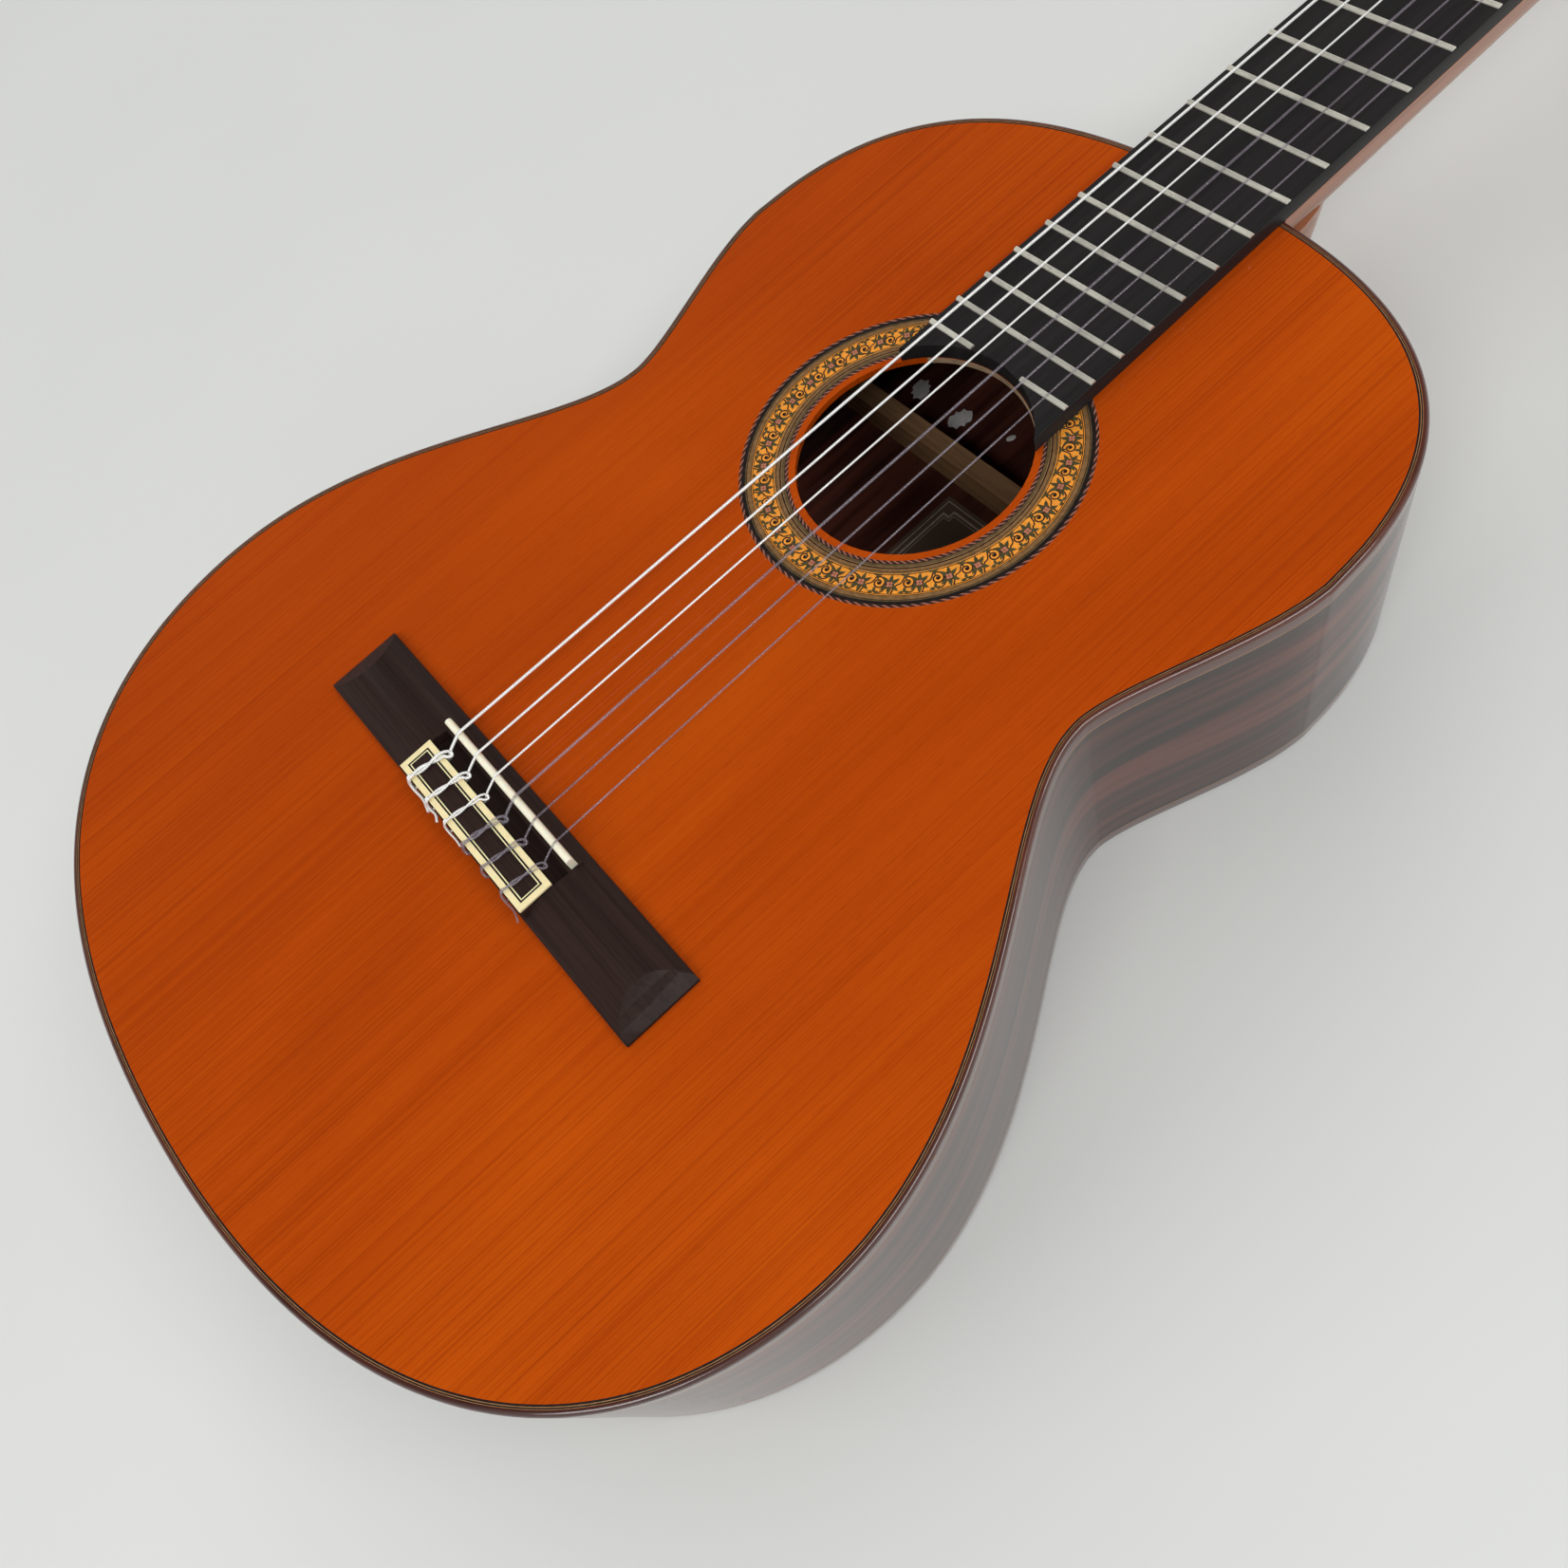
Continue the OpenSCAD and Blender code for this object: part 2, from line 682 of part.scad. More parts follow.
// Height of the thread over the worm's core, at a share of one turn from the middle of a ridge
function ridge(share) =
  let (s = abs(share - round(share)), crest = 0.1, foot = 0.2)
  s <= crest ? 1 : s >= foot ? 0 : (foot - s) / (foot - crest);
function worm_radius(turn, i) = worm_core_r + (worm_tip_r - worm_core_r) * ridge(turn - i / thread_steps);
// The right-handed thread, with a groove opposite the gear's pointing tooth at mid-length
module worm_thread() {
  loft([for (j = [0 : worm_turns * thread_rows]) [for (i = [0 : thread_steps - 1])
    let (turn = j / thread_rows, r = worm_radius(turn + 0.5, i), a = 90 + 360 * i / thread_steps)
    [r * cos(a), r * sin(a), turn * lead - worm_l / 2]]]);
}
// The origin of a worm: on its axis, level with the roller and beside the gear
module worm_at(k) {
  on_head() translate([side_of(k) * gear_x, first_roller + row_of(k) * roller_pitch - worm_set, roller_v])
    children();
}
module to_side(k) {
  on_head() mirror([side_of(k) > 0 ? 0 : 1, 0, 0]) roller_at(row_of(k)) children();
}
lug_in = worm_l / 2 + lug_gap;
lug_out = lug_in + lug_t;
module worm(k) {
  color("silver") worm_at(k) {
    worm_thread();
    translate([0, 0, worm_l / 2]) cylinder(h = lug_out - worm_l / 2 + 0.5, r = shaft_r, $fn = 32);
    translate([0, 0, -lug_out - button_neck_l]) cylinder(h = lug_out + button_neck_l - worm_l / 2,
      r = shaft_r, $fn = 32);
  }
}
// A flat oval grip with rounded edges, on a short collar that the worm's shaft fills
module button(k) {
  color("ivory") worm_at(k) translate([0, 0, -lug_out]) difference() {
    union() {
      translate([0, 0, -button_neck_l]) cylinder(h = button_neck_l - 1, r = collar_r, $fn = 48);
      translate([0, 0, button_seat - button_neck_l - button_h / 2]) rotate([90, 0, 90]) {
        oval_plate(button_t, 1);
        oval_plate(button_t - 2.4, 1.12);
      }
    }
    translate([0, 0, -button_neck_l]) cylinder(h = button_neck_l, r = shaft_r, $fn = 32);
  }
}
module oval_plate(thick, size) {
  steps = 40;
  translate([0, 0, -thick / 2]) linear_extrude(thick) polygon([for (i = [0 : steps - 1])
    let (a = 360 * i / steps) size / 1.12 * [button_w / 2 * cos(a), button_h / 2 * sin(a)]]);
}
// The wheel, with one tooth pointing at the worm, and the screw that holds it
module gear(k) {
  color("goldenrod") to_side(k) {
    difference() {
      translate([gear_x - gear_w / 2, 0, 0]) rotate([90, 0, 90]) linear_extrude(gear_w) gear_plan();
      x_rod(gear_shaft_r, 0, gear_x + gear_w / 2 - gear_cap_t);
    }
    x_rod(gear_screw_r, gear_x + gear_w / 2, gear_x + gear_w / 2 + gear_screw_h);
  }
}
module gear_plan() {
  root = 0.21;
  tip = 0.1;
  polygon([for (t = [0 : gear_teeth - 1], c = [[-root, 0], [-tip, 1], [tip, 1], [root, 0]])
    let (a = 180 + 360 / gear_teeth * (t + c[0]), r = c[1] > 0 ? gear_tip_r : gear_root_r)
    [r * cos(a), r * sin(a)]]);
}
string_hole_r = 0.9;
function wind_x(k) = slot_gap / 2 + [10, 6.5, 7.5][row_of(k)];
module roller(k) {
  color("whitesmoke") to_side(k) difference() {
    union() {
      x_rod(pin_r, slot_gap / 2 - pin_l, slot_gap / 2 + 0.3);
      x_rod(roller_r, slot_gap / 2 + 0.3, head_w / 2 - 0.2);
      x_rod(gear_shaft_r, head_w / 2 - 0.2, gear_x + gear_w / 2 - gear_cap_t);
    }
    translate([wind_x(k) - 2.2, 0, -head_t]) cylinder(h = 2 * head_t, r = string_hole_r, $fn = 24);
  }
}
module machine_lug(row, low, high) {
  roller_at(row) translate([head_w / 2 + plate_t, -worm_set, low]) difference() {
    union() {
      translate([-0.1, -lug_r, 0]) cube([gear_x - head_w / 2 - plate_t + 0.1, 2 * lug_r, high - low]);
      translate([gear_x - head_w / 2 - plate_t, 0, 0]) cylinder(h = high - low, r = lug_r, $fn = 48);
    }
    translate([gear_x - head_w / 2 - plate_t, 0, -1])
      cylinder(h = high - low + 2, r = shaft_r + running_fit, $fn = 48);
  }
}
module tuner_plate(side) {
  color("goldenrod") on_head() mirror([side > 0 ? 0 : 1, 0, 0]) {
    difference() {
      translate([head_w / 2, 0, roller_v]) rotate([90, 0, 90]) linear_extrude(plate_t) plate_plan();
      for (row = [0 : 2]) roller_at(row) x_rod(gear_shaft_r + running_fit, 0, head_w);
      for (u = SCREWS) translate([0, u, roller_v]) x_rod(screw_r, 0, head_w);
    }
    for (row = [0 : 2]) {
      machine_lug(row, lug_in, lug_out);
      machine_lug(row, -lug_out, -lug_in);
    }
  }
}
// The plate's outline, with ends narrowed to round tips
module plate_plan() {
  low = SCREWS[0];
  high = SCREWS[3];
  r = plate_ends / 2;
  translate([low, 0]) circle(r = r, $fn = 48);
  translate([high, 0]) circle(r = r, $fn = 48);
  polygon([[low, -r], [low + 2, -plate_w / 2], [high - 2, -plate_w / 2], [high, -r],
           [high, r], [high - 2, plate_w / 2], [low + 2, plate_w / 2], [low, r]]);
}
module tuner_plate_bass() { tuner_plate(-1); }
module tuner_plate_treble() { tuner_plate(1); }
module plate_screws() {
  face = head_w / 2 + plate_t;
  color("gold") on_head() for (side = [-1, 1]) at_screws(side) difference() {
    union() {
      x_rod(screw_r, head_w / 2 - screw_l, face);
      x_rod(screw_head_r, face, face + 1);
    }
    translate([face + 0.5, -screw_head_r - 1, -0.25]) cube([2, 2 * screw_head_r + 2, 0.5]);
  }
}

/* ---- string routes ---- */
wind_turns = 2.75;
wind_steps = 16;
tube_sides = 8;
// A point of the headstock's frame, in the guitar's frame
function from_head(p) =
  [p[0], head_y + p[1] * cos(head_tilt) + p[2] * sin(head_tilt),
   top_z - p[1] * sin(head_tilt) + p[2] * cos(head_tilt)];
// The tie: from the loose end on the tie block's front edge, back over its top and through its hole
function tie_route(k) =
  let (x = saddle_x(k), r = STRING_R[k - 1], out = x + 2 * r + 0.5, over = top_z + block_h + r + gap)
  [[out, block_front + 1.5, over - 1.6], [out, block_front + 0.4, over],
   [x + r, (block_front + block_back) / 2, over], [x, block_back - 0.6, over],
   [x, block_back - 1.6 - r, over - 1.6], [x, block_back - 1.6 - r, tie_hole_z + 1.2],
   [x, block_back - 0.4, tie_hole_z], [x, block_front + 0.4, tie_hole_z]];
function bend_lift(r) = 1.04 * (saddle_t / 2 + r) + gap;
function saddle_route(k) =
  let (r = STRING_R[k - 1], z = saddle_top - saddle_t / 2)
  [[saddle_x(k), saddle_y - 0.45, z + bend_lift(r) - 0.05], [saddle_x(k), saddle_y + 0.45, z + bend_lift(r)]];
function nut_route(k) =
  [[nut_x(k), nut_y, nut_string_z(k)], [nut_x(k), head_y + 0.3, nut_string_z(k)]];
// Turns round the roller, starting on top of it
function wind_route(k) =
  let (r = STRING_R[k - 1], reach = roller_r + r + 0.3, u = first_roller + row_of(k) * roller_pitch,
       n = floor(wind_turns * wind_steps))
  [for (i = [0 : n]) let (a = 90 - 360 * i / wind_steps)
    from_head([side_of(k) * (wind_x(k) + (2 * r + 0.15) * i / wind_steps),
               u + reach * cos(a), roller_v + reach * sin(a)])];
function string_route(k) = concat(tie_route(k), saddle_route(k), nut_route(k), wind_route(k));

function tangent(p, i) =
  i == 0 ? unit(p[1] - p[0]) : i == len(p) - 1 ? unit(p[i] - p[i - 1])
  : unit(unit(p[i] - p[i - 1]) + unit(p[i + 1] - p[i]));
// Each ring's side direction is the last one's, turned square to the new tangent
function side_dirs(p, i, last) =
  let (t = tangent(p, i), d = unit(last - (last * t) * t))
  i == len(p) - 1 ? [d] : concat([d], side_dirs(p, i + 1, d));
module tube(p, r) {
  dirs = side_dirs(p, 0, [1, 0, 0]);
  loft([for (i = [0 : len(p) - 1]) let (t = tangent(p, i), d = dirs[i], e = cross(t, d))
    [for (j = [0 : tube_sides - 1]) let (a = 360 * j / tube_sides)
      p[i] + r * (cos(a) * d + sin(a) * e)]]);
}
module guitar_string(k) {
  color(k > 3 ? "silver" : "ghostwhite") tube(string_route(k), STRING_R[k - 1]);
}

soundboard();
rosette_lines();
rosette_mosaic();
back();
back_centre_strip();
side_bass();
side_treble();
top_binding();
top_purfling();
back_binding();
end_graft();
linings();
tail_block();
fan_braces();
harmonic_bars();
back_bars();
label();
neck();
heel_cap();
headstock();
head_veneer();
fingerboard();
frets();
nut();
saddle();
bridge();
tie_block_inlay();
tuner_plate_bass();
tuner_plate_treble();
plate_screws();
for (k = STRINGS) {
  guitar_string(k);
  roller(k);
  gear(k);
  worm(k);
  button(k);
}
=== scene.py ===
import json
import math

import bmesh
import bpy
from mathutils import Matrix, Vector


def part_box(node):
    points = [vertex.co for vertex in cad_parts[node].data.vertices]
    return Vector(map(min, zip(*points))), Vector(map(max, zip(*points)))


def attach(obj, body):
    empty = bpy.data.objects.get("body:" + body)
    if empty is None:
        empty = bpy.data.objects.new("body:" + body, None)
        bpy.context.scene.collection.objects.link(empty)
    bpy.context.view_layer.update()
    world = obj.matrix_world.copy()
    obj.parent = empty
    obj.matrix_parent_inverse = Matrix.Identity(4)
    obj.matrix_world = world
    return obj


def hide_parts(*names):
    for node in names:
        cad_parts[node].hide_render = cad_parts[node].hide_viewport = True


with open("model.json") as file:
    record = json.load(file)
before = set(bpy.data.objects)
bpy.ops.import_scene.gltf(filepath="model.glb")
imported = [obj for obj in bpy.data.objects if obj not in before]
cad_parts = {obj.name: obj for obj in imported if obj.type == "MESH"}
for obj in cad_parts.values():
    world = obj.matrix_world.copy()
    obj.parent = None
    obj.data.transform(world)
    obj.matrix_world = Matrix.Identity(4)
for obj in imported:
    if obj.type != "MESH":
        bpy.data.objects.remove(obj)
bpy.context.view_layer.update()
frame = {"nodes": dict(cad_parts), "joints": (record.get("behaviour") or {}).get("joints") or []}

MM = 0.001
X_AXIS, Y_AXIS, Z_AXIS = (Vector(axis) for axis in ((1, 0, 0), (0, 1, 0), (0, 0, 1)))
NODES = frame["nodes"]

# ---------------------------------------------------------------- places, from the frame
nut_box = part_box("nut")
sound_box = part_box("soundboard")
rosette_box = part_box("rosette_lines")
mosaic_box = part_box("rosette_mosaic")
inlay_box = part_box("tie_block_inlay")
saddle_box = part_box("saddle")
label_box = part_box("label")
binding_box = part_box("top_binding")

TOP_Z = sound_box[1][2]
NUT_Y = nut_box[0][1]
HOLE_Y = (rosette_box[0][1] + rosette_box[1][1]) / 2
ROSETTE_OUT = (rosette_box[1][0] - rosette_box[0][0]) / 2
MOSAIC_OUT = (mosaic_box[1][0] - mosaic_box[0][0]) / 2

# ---------------------------------------------------------------- camera
# Its place from the middle of the nut at the soundboard's height, in metres, and its turns in degrees
CAMERA_FROM_NUT = Vector((0.2529, -0.6320, 0.3538))
CAMERA_TURN = (25.55, 14.42, 49.23)
CAMERA_LENS = 30.0
camera_data = bpy.data.cameras.new("camera")
camera_data.lens = CAMERA_LENS
camera_data.sensor_width = 36
camera = bpy.data.objects.new("camera", camera_data)
camera.location = Vector((0, NUT_Y, TOP_Z)) + CAMERA_FROM_NUT
camera.rotation_euler = [math.radians(a) for a in CAMERA_TURN]
bpy.context.scene.collection.objects.link(camera)
bpy.context.scene.camera = camera


# ---------------------------------------------------------------- materials
class Shader:
    """A material's node tree, with short calls for the nodes that it uses."""

    def __init__(self, name, **sockets):
        self.material = bpy.data.materials.new(name)
        self.material.use_nodes = True
        self.tree = self.material.node_tree
        self.bsdf = self.tree.nodes["Principled BSDF"]
        for key, value in sockets.items():
            self.bsdf.inputs[key.replace("_", " ")].default_value = value

    def node(self, kind, **settings):
        made = self.tree.nodes.new("ShaderNode" + kind)
        for key, value in settings.items():
            setattr(made, key, value)
        return made

    def link(self, source, target):
        self.tree.links.new(source, target)

    def coords(self, scale=(1, 1, 1), move=(0, 0, 0)):
        mapping = self.node("Mapping")
        mapping.inputs["Location"].default_value = move
        mapping.inputs["Scale"].default_value = scale
        self.link(self.node("TexCoord").outputs["Object"], mapping.inputs["Vector"])
        return mapping.outputs["Vector"]

    def noise(self, vector, scale=1.0, detail=2.0, rough=0.5, distort=0.0):
        made = self.node("TexNoise")
        made.inputs["Scale"].default_value = scale
        made.inputs["Detail"].default_value = detail
        made.inputs["Roughness"].default_value = rough
        made.inputs["Distortion"].default_value = distort
        self.link(vector, made.inputs["Vector"])
        return made.outputs["Fac"]

    def ramp(self, value, stops):
        made = self.node("ValToRGB")
        ramp = made.color_ramp
        while len(ramp.elements) < len(stops):
            ramp.elements.new(0.5)
        for element, (at, colour) in zip(ramp.elements, stops):
            element.position = at
            element.color = (*colour, 1)
        self.link(value, made.inputs["Fac"])
        return made.outputs["Color"]

    def multiply(self, a, b):
        """The product of two colours, whose sockets are numbers 6 and 7 in a Mix node, and 2 outwards."""
        made = self.node("Mix", data_type="RGBA", blend_type="MULTIPLY")
        made.inputs[0].default_value = 1.0
        self.link(a, made.inputs[6])
        self.link(b, made.inputs[7])
        return made.outputs[2]

    def calculate(self, operation, a, b=0.0):
        made = self.node("Math", operation=operation)
        for value, socket in zip((a, b), made.inputs):
            if isinstance(value, (int, float)):
                socket.default_value = value
            else:
                self.link(value, socket)
        return made.outputs[0]

    def to_range(self, value, low, high, new_low=0.0, new_high=1.0):
        made = self.node("MapRange")
        limits = {"From Min": low, "From Max": high, "To Min": new_low, "To Max": new_high}
        for socket, number in limits.items():
            made.inputs[socket].default_value = number
        self.link(value, made.inputs["Value"])
        return made.outputs["Result"]

    def colour(self, socket):
        self.link(socket, self.bsdf.inputs["Base Color"])
        return self

    def roughness(self, socket):
        self.link(socket, self.bsdf.inputs["Roughness"])
        return self

    def bump(self, height, strength, distance):
        made = self.node("Bump")
        made.inputs["Strength"].default_value = strength
        made.inputs["Distance"].default_value = distance
        self.link(height, made.inputs["Height"])
        self.link(made.outputs["Normal"], self.bsdf.inputs["Normal"])
        return self


def cedar():
    """Straight-grained cedar under gloss lacquer: fine late-wood lines along the guitar."""
    s = Shader("cedar", Roughness=0.45, Coat_Weight=0.6, Coat_Roughness=0.06, Coat_IOR=1.42)
    s.bsdf.inputs["Specular IOR Level"].default_value = 0.03
    lines = s.noise(s.coords((2300, 2.0, 40)), 1.0, 3, 0.6, 0.05)
    spacing = s.noise(s.coords((130, 0.9, 8)), 1.0, 3, 0.55)
    patches = s.noise(s.coords((7, 2.6, 7)), 1.0, 3, 0.55, 0.5)
    streaks = s.noise(s.coords((300, 9, 20)), 1.0, 2, 0.5, 0.2)
    pores = s.noise(s.coords((3200, 160, 160)), 1.0, 2, 0.5)
    ground = s.ramp(patches, [(0.28, (0.37, 0.047, 0.0010)), (0.50, (0.43, 0.060, 0.0013)),
                              (0.76, (0.53, 0.088, 0.0018))])
    bands = s.ramp(spacing, [(0.32, (0.94, 0.90, 0.86)), (0.52, (1, 1, 1)), (0.75, (1.02, 1.01, 1.0))])
    grain = s.ramp(lines, [(0.36, (0.78, 0.68, 0.58)), (0.47, (0.95, 0.92, 0.88)), (0.58, (1, 1, 1)),
                           (0.72, (1.02, 1.06, 1.05))])
    dark_streak = s.ramp(streaks, [(0.17, (0.80, 0.72, 0.66)), (0.28, (1, 1, 1))])
    fleck = s.ramp(pores, [(0.30, (0.88, 0.83, 0.78)), (0.42, (1, 1, 1))])
    wood = s.multiply(s.multiply(ground, bands), grain)
    wood = s.multiply(s.multiply(wood, dark_streak), fleck)
    return s.colour(wood).bump(lines, 0.05, 0.2 * MM).material


def rosewood(name, scale):
    """Dark rosewood with red-brown streaks along the grain, under gloss lacquer."""
    s = Shader(name, Roughness=0.4, Coat_Weight=0.7, Coat_Roughness=0.05, Coat_IOR=1.45)
    s.bsdf.inputs["Specular IOR Level"].default_value = 0.25
    streaks = s.noise(s.coords(scale), 1.0, 3, 0.5, 0.7)
    fine = s.noise(s.coords(tuple(6 * v for v in scale)), 1.0, 3, 0.6, 0.2)
    ground = s.ramp(streaks, [(0.28, (0.020, 0.010, 0.008)), (0.41, (0.052, 0.024, 0.018)),
                              (0.48, (0.028, 0.013, 0.010)), (0.56, (0.125, 0.036, 0.024)),
                              (0.63, (0.092, 0.030, 0.021)), (0.72, (0.032, 0.015, 0.011))])
    pores = s.ramp(fine, [(0.34, (0.50, 0.46, 0.46)), (0.5, (1, 1, 1)), (0.7, (1.2, 1.1, 1.05))])
    return s.colour(s.multiply(ground, pores)).bump(fine, 0.03, 0.3 * MM).material


def plain_wood(name, light, dark, scale, rough=0.5, coat=0.0, lines=0.5, shine=0.5):
    """A wood of two tones with fine grain; scale is coarse across the grain and low along it."""
    s = Shader(name, Roughness=rough, Coat_Weight=coat, Coat_Roughness=0.05)
    s.bsdf.inputs["Specular IOR Level"].default_value = shine
    grain = s.noise(s.coords(scale), 1.0, 4, 0.6, 0.3)
    patches = s.noise(s.coords(tuple(v / 9 for v in scale)), 1.0, 2, 0.5, 0.4)
    tone = s.ramp(patches, [(0.3, dark), (0.7, light)])
    fine = s.ramp(grain, [(0.35, (1 - lines, 1 - lines, 1 - lines)), (0.55, (1, 1, 1))])
    return s.colour(s.multiply(tone, fine)).bump(grain, 0.12, 0.2 * MM).material


def tinted(name, colour, rough, spread=0.12, scale=400, **sockets):
    """A nearly even colour with slight mottling, and small changes of gloss."""
    s = Shader(name, Roughness=rough, **sockets)
    mottle = s.noise(s.coords((scale, scale, scale)), 1.0, 3, 0.55)
    dark = tuple(v * (1 - spread) for v in colour)
    light = tuple(min(1.0, v * (1 + spread)) for v in colour)
    s.colour(s.ramp(mottle, [(0.3, dark), (0.7, light)]))
    s.roughness(s.to_range(mottle, 0.3, 0.7, rough * 0.8, rough * 1.25))
    return s


def metal(name, colour, rough, scratch, metallic=1.0):
    """Polished metal with fine wear marks."""
    s = Shader(name, Metallic=metallic, Roughness=rough)
    marks = s.noise(s.coords(scratch), 1.0, 5, 0.65)
    tarnish = s.noise(s.coords((70, 70, 70)), 1.0, 3, 0.5)
    dark = tuple(v * 0.72 for v in colour)
    s.colour(s.ramp(tarnish, [(0.35, dark), (0.62, colour)]))
    s.roughness(s.to_range(marks, 0.35, 0.7, rough * 0.7, rough * 1.7))
    return s.bump(marks, 0.05, 0.1 * MM).material


def wound_metal():
    """Silver-plated winding: fine ridges across the string, which runs close to the Y axis, with painted
    shade in the grooves between the ridges.
    """
    s = Shader("wound_silver", Metallic=0.35, Roughness=0.3)
    wave = s.node("TexWave", wave_type="BANDS", bands_direction="Y", wave_profile="SIN")
    wave.inputs["Scale"].default_value = 1.0
    s.link(s.coords((1, 340, 1)), wave.inputs["Vector"])
    # The colour follows the ridges' height and darkens towards each groove: painted shade between the turns
    # of the winding.
    s.colour(s.ramp(wave.outputs["Fac"], [(0.05, (0.80, 0.80, 0.78)), (0.5, (0.98, 0.97, 0.95))]))
    return s.bump(wave.outputs["Fac"], 0.4, 0.1 * MM).material


def nylon():
    """Clear nylon: a thin see-through tone with a sharp highlight."""
    s = Shader("clear_nylon", IOR=1.53, Roughness=0.1, Alpha=0.36)
    s.bsdf.inputs["Specular IOR Level"].default_value = 1.0
    haze = s.noise(s.coords((90, 30, 90)), 1.0, 3, 0.5)
    s.colour(s.ramp(haze, [(0.3, (0.18, 0.15, 0.18)), (0.7, (0.33, 0.29, 0.34))]))
    return s.roughness(s.to_range(haze, 0.3, 0.7, 0.08, 0.15)).material


def bone(name, colour):
    """Bone: pale, slightly mottled and faintly translucent."""
    s = tinted(name, colour, 0.32, 0.05, 260, Coat_Weight=0.35, Coat_Roughness=0.15)
    s.bsdf.inputs["Subsurface Weight"].default_value = 0.15
    s.bsdf.inputs["Subsurface Scale"].default_value = 2 * MM
    return s.material


def pearl():
    """Pearly plastic of the tuner buttons: milky clouds in a clear gloss."""
    s = Shader("pearl_plastic", Roughness=0.25, Coat_Weight=0.8, Coat_Roughness=0.05)
    clouds = s.noise(s.coords((210, 210, 90)), 1.0, 4, 0.6, 1.6)
    s.colour(s.ramp(clouds, [(0.3, (0.62, 0.58, 0.50)), (0.48, (0.86, 0.83, 0.76)),
                             (0.7, (0.95, 0.94, 0.90))]))
    return s.material


def rope():
    """A ring of slanting pink and black veneer strips."""
    strips, slant = 120, 4300
    s = Shader("rosette_rope", Roughness=0.45, Coat_Weight=1.0, Coat_Roughness=0.05)
    parts = s.node("SeparateXYZ")
    s.link(s.coords(move=(0, -HOLE_Y, 0)), parts.inputs[0])
    x, y = parts.outputs[0], parts.outputs[1]
    angle = s.calculate("ARCTAN2", x, y)
    square = s.calculate("ADD", s.calculate("POWER", x, 2), s.calculate("POWER", y, 2))
    radius = s.calculate("SQRT", square)
    turned = s.calculate("ADD", s.calculate("MULTIPLY", angle, strips),
                         s.calculate("MULTIPLY", radius, slant))
    stripe = s.calculate("SINE", turned)
    s.colour(s.ramp(s.to_range(stripe, -1, 1), [(0.50, (0.030, 0.011, 0.008)), (0.66, (0.15, 0.045, 0.028)),
                                                (0.86, (0.33, 0.12, 0.075))]))
    return s.material


def veneer(name, colour, spread=0.2, grain=500, coat=1.0):
    """A dyed veneer line or inlay under the lacquer."""
    return tinted(name, colour, 0.4, spread, grain, Coat_Weight=coat, Coat_Roughness=0.05).material


CEDAR = cedar()
SIDE_WOOD = rosewood("rosewood_sides", (1.7, 1.7, 26))
BACK_WOOD = rosewood("rosewood_back", (30, 1.7, 30))
HEAD_WOOD = rosewood("rosewood_head", (85, 2.2, 9))
BINDING_WOOD = plain_wood("binding_rosewood", (0.13, 0.030, 0.014), (0.050, 0.012, 0.008),
                          (30, 30, 900), 0.35, 1.0, 0.4)
NECK_WOOD = plain_wood("neck_cedar", (0.42, 0.16, 0.075), (0.30, 0.105, 0.050), (420, 9, 420),
                       0.42, 0.55, 0.35)
SPRUCE = plain_wood("bare_spruce", (0.52, 0.30, 0.14), (0.38, 0.20, 0.09), (30, 500, 500), 0.7, 0.0, 0.3)
EBONY = plain_wood("ebony", (0.020, 0.018, 0.018), (0.012, 0.011, 0.011), (1400, 20, 900),
                   0.5, 0.0, 0.3, 0.22)
BRIDGE_WOOD = plain_wood("bridge_rosewood", (0.032, 0.017, 0.014), (0.019, 0.010, 0.008), (16, 900, 900),
                         0.58, 0.05, 0.35, 0.12)
BLACK_LINE = veneer("black_veneer", (0.010, 0.006, 0.005), coat=0.5)
TAN_LINE = veneer("tan_veneer", (0.33, 0.16, 0.06), coat=0.6)
BROWN_LINE = veneer("brown_veneer", (0.19, 0.095, 0.030), 0.25)
OLIVE_LINE = veneer("olive_veneer", (0.10, 0.062, 0.022), 0.25)
GOLD_GROUND = veneer("mosaic_ground", (0.80, 0.285, 0.020), 0.16, 900)
LEAF_GREEN = veneer("mosaic_leaf", (0.060, 0.050, 0.016), 0.25, 900)
ROSE_PINK = veneer("mosaic_rose", (0.46, 0.15, 0.085), 0.2, 900)
SCROLL_DARK = veneer("mosaic_scroll", (0.030, 0.014, 0.008), 0.25, 900)
ROPE = rope()
CUT_WOOD = plain_wood("cut_cedar", (0.42, 0.29, 0.18), (0.30, 0.19, 0.11), (300, 300, 1500), 0.6)
BONE = bone("bone", (0.88, 0.84, 0.66))
CREAM = bone("cream_bone", (0.88, 0.74, 0.42))
PAPER = tinted("label_paper", (0.16, 0.105, 0.068), 0.8, 0.12, 90).material
INK = tinted("label_ink", (0.52, 0.44, 0.34), 0.8, 0.2, 500).material
GLUE = tinted("glue", (0.86, 0.84, 0.80), 0.5, 0.1, 500).material
FRET_METAL = metal("nickel_silver", (0.86, 0.83, 0.72), 0.32, (60, 900, 900), metallic=0.55)
STEEL = metal("steel", (0.66, 0.65, 0.62), 0.22, (300, 300, 300))
BRASS = metal("brass", (0.86, 0.62, 0.26), 0.2, (260, 260, 260))
SILVER = wound_metal()
NYLON = nylon()
PEARL = pearl()
ROLLER = tinted("roller_plastic", (0.84, 0.80, 0.70), 0.35, 0.05, 300).material


# ---------------------------------------------------------------- meshes
SHARP_EDGE = math.radians(35)


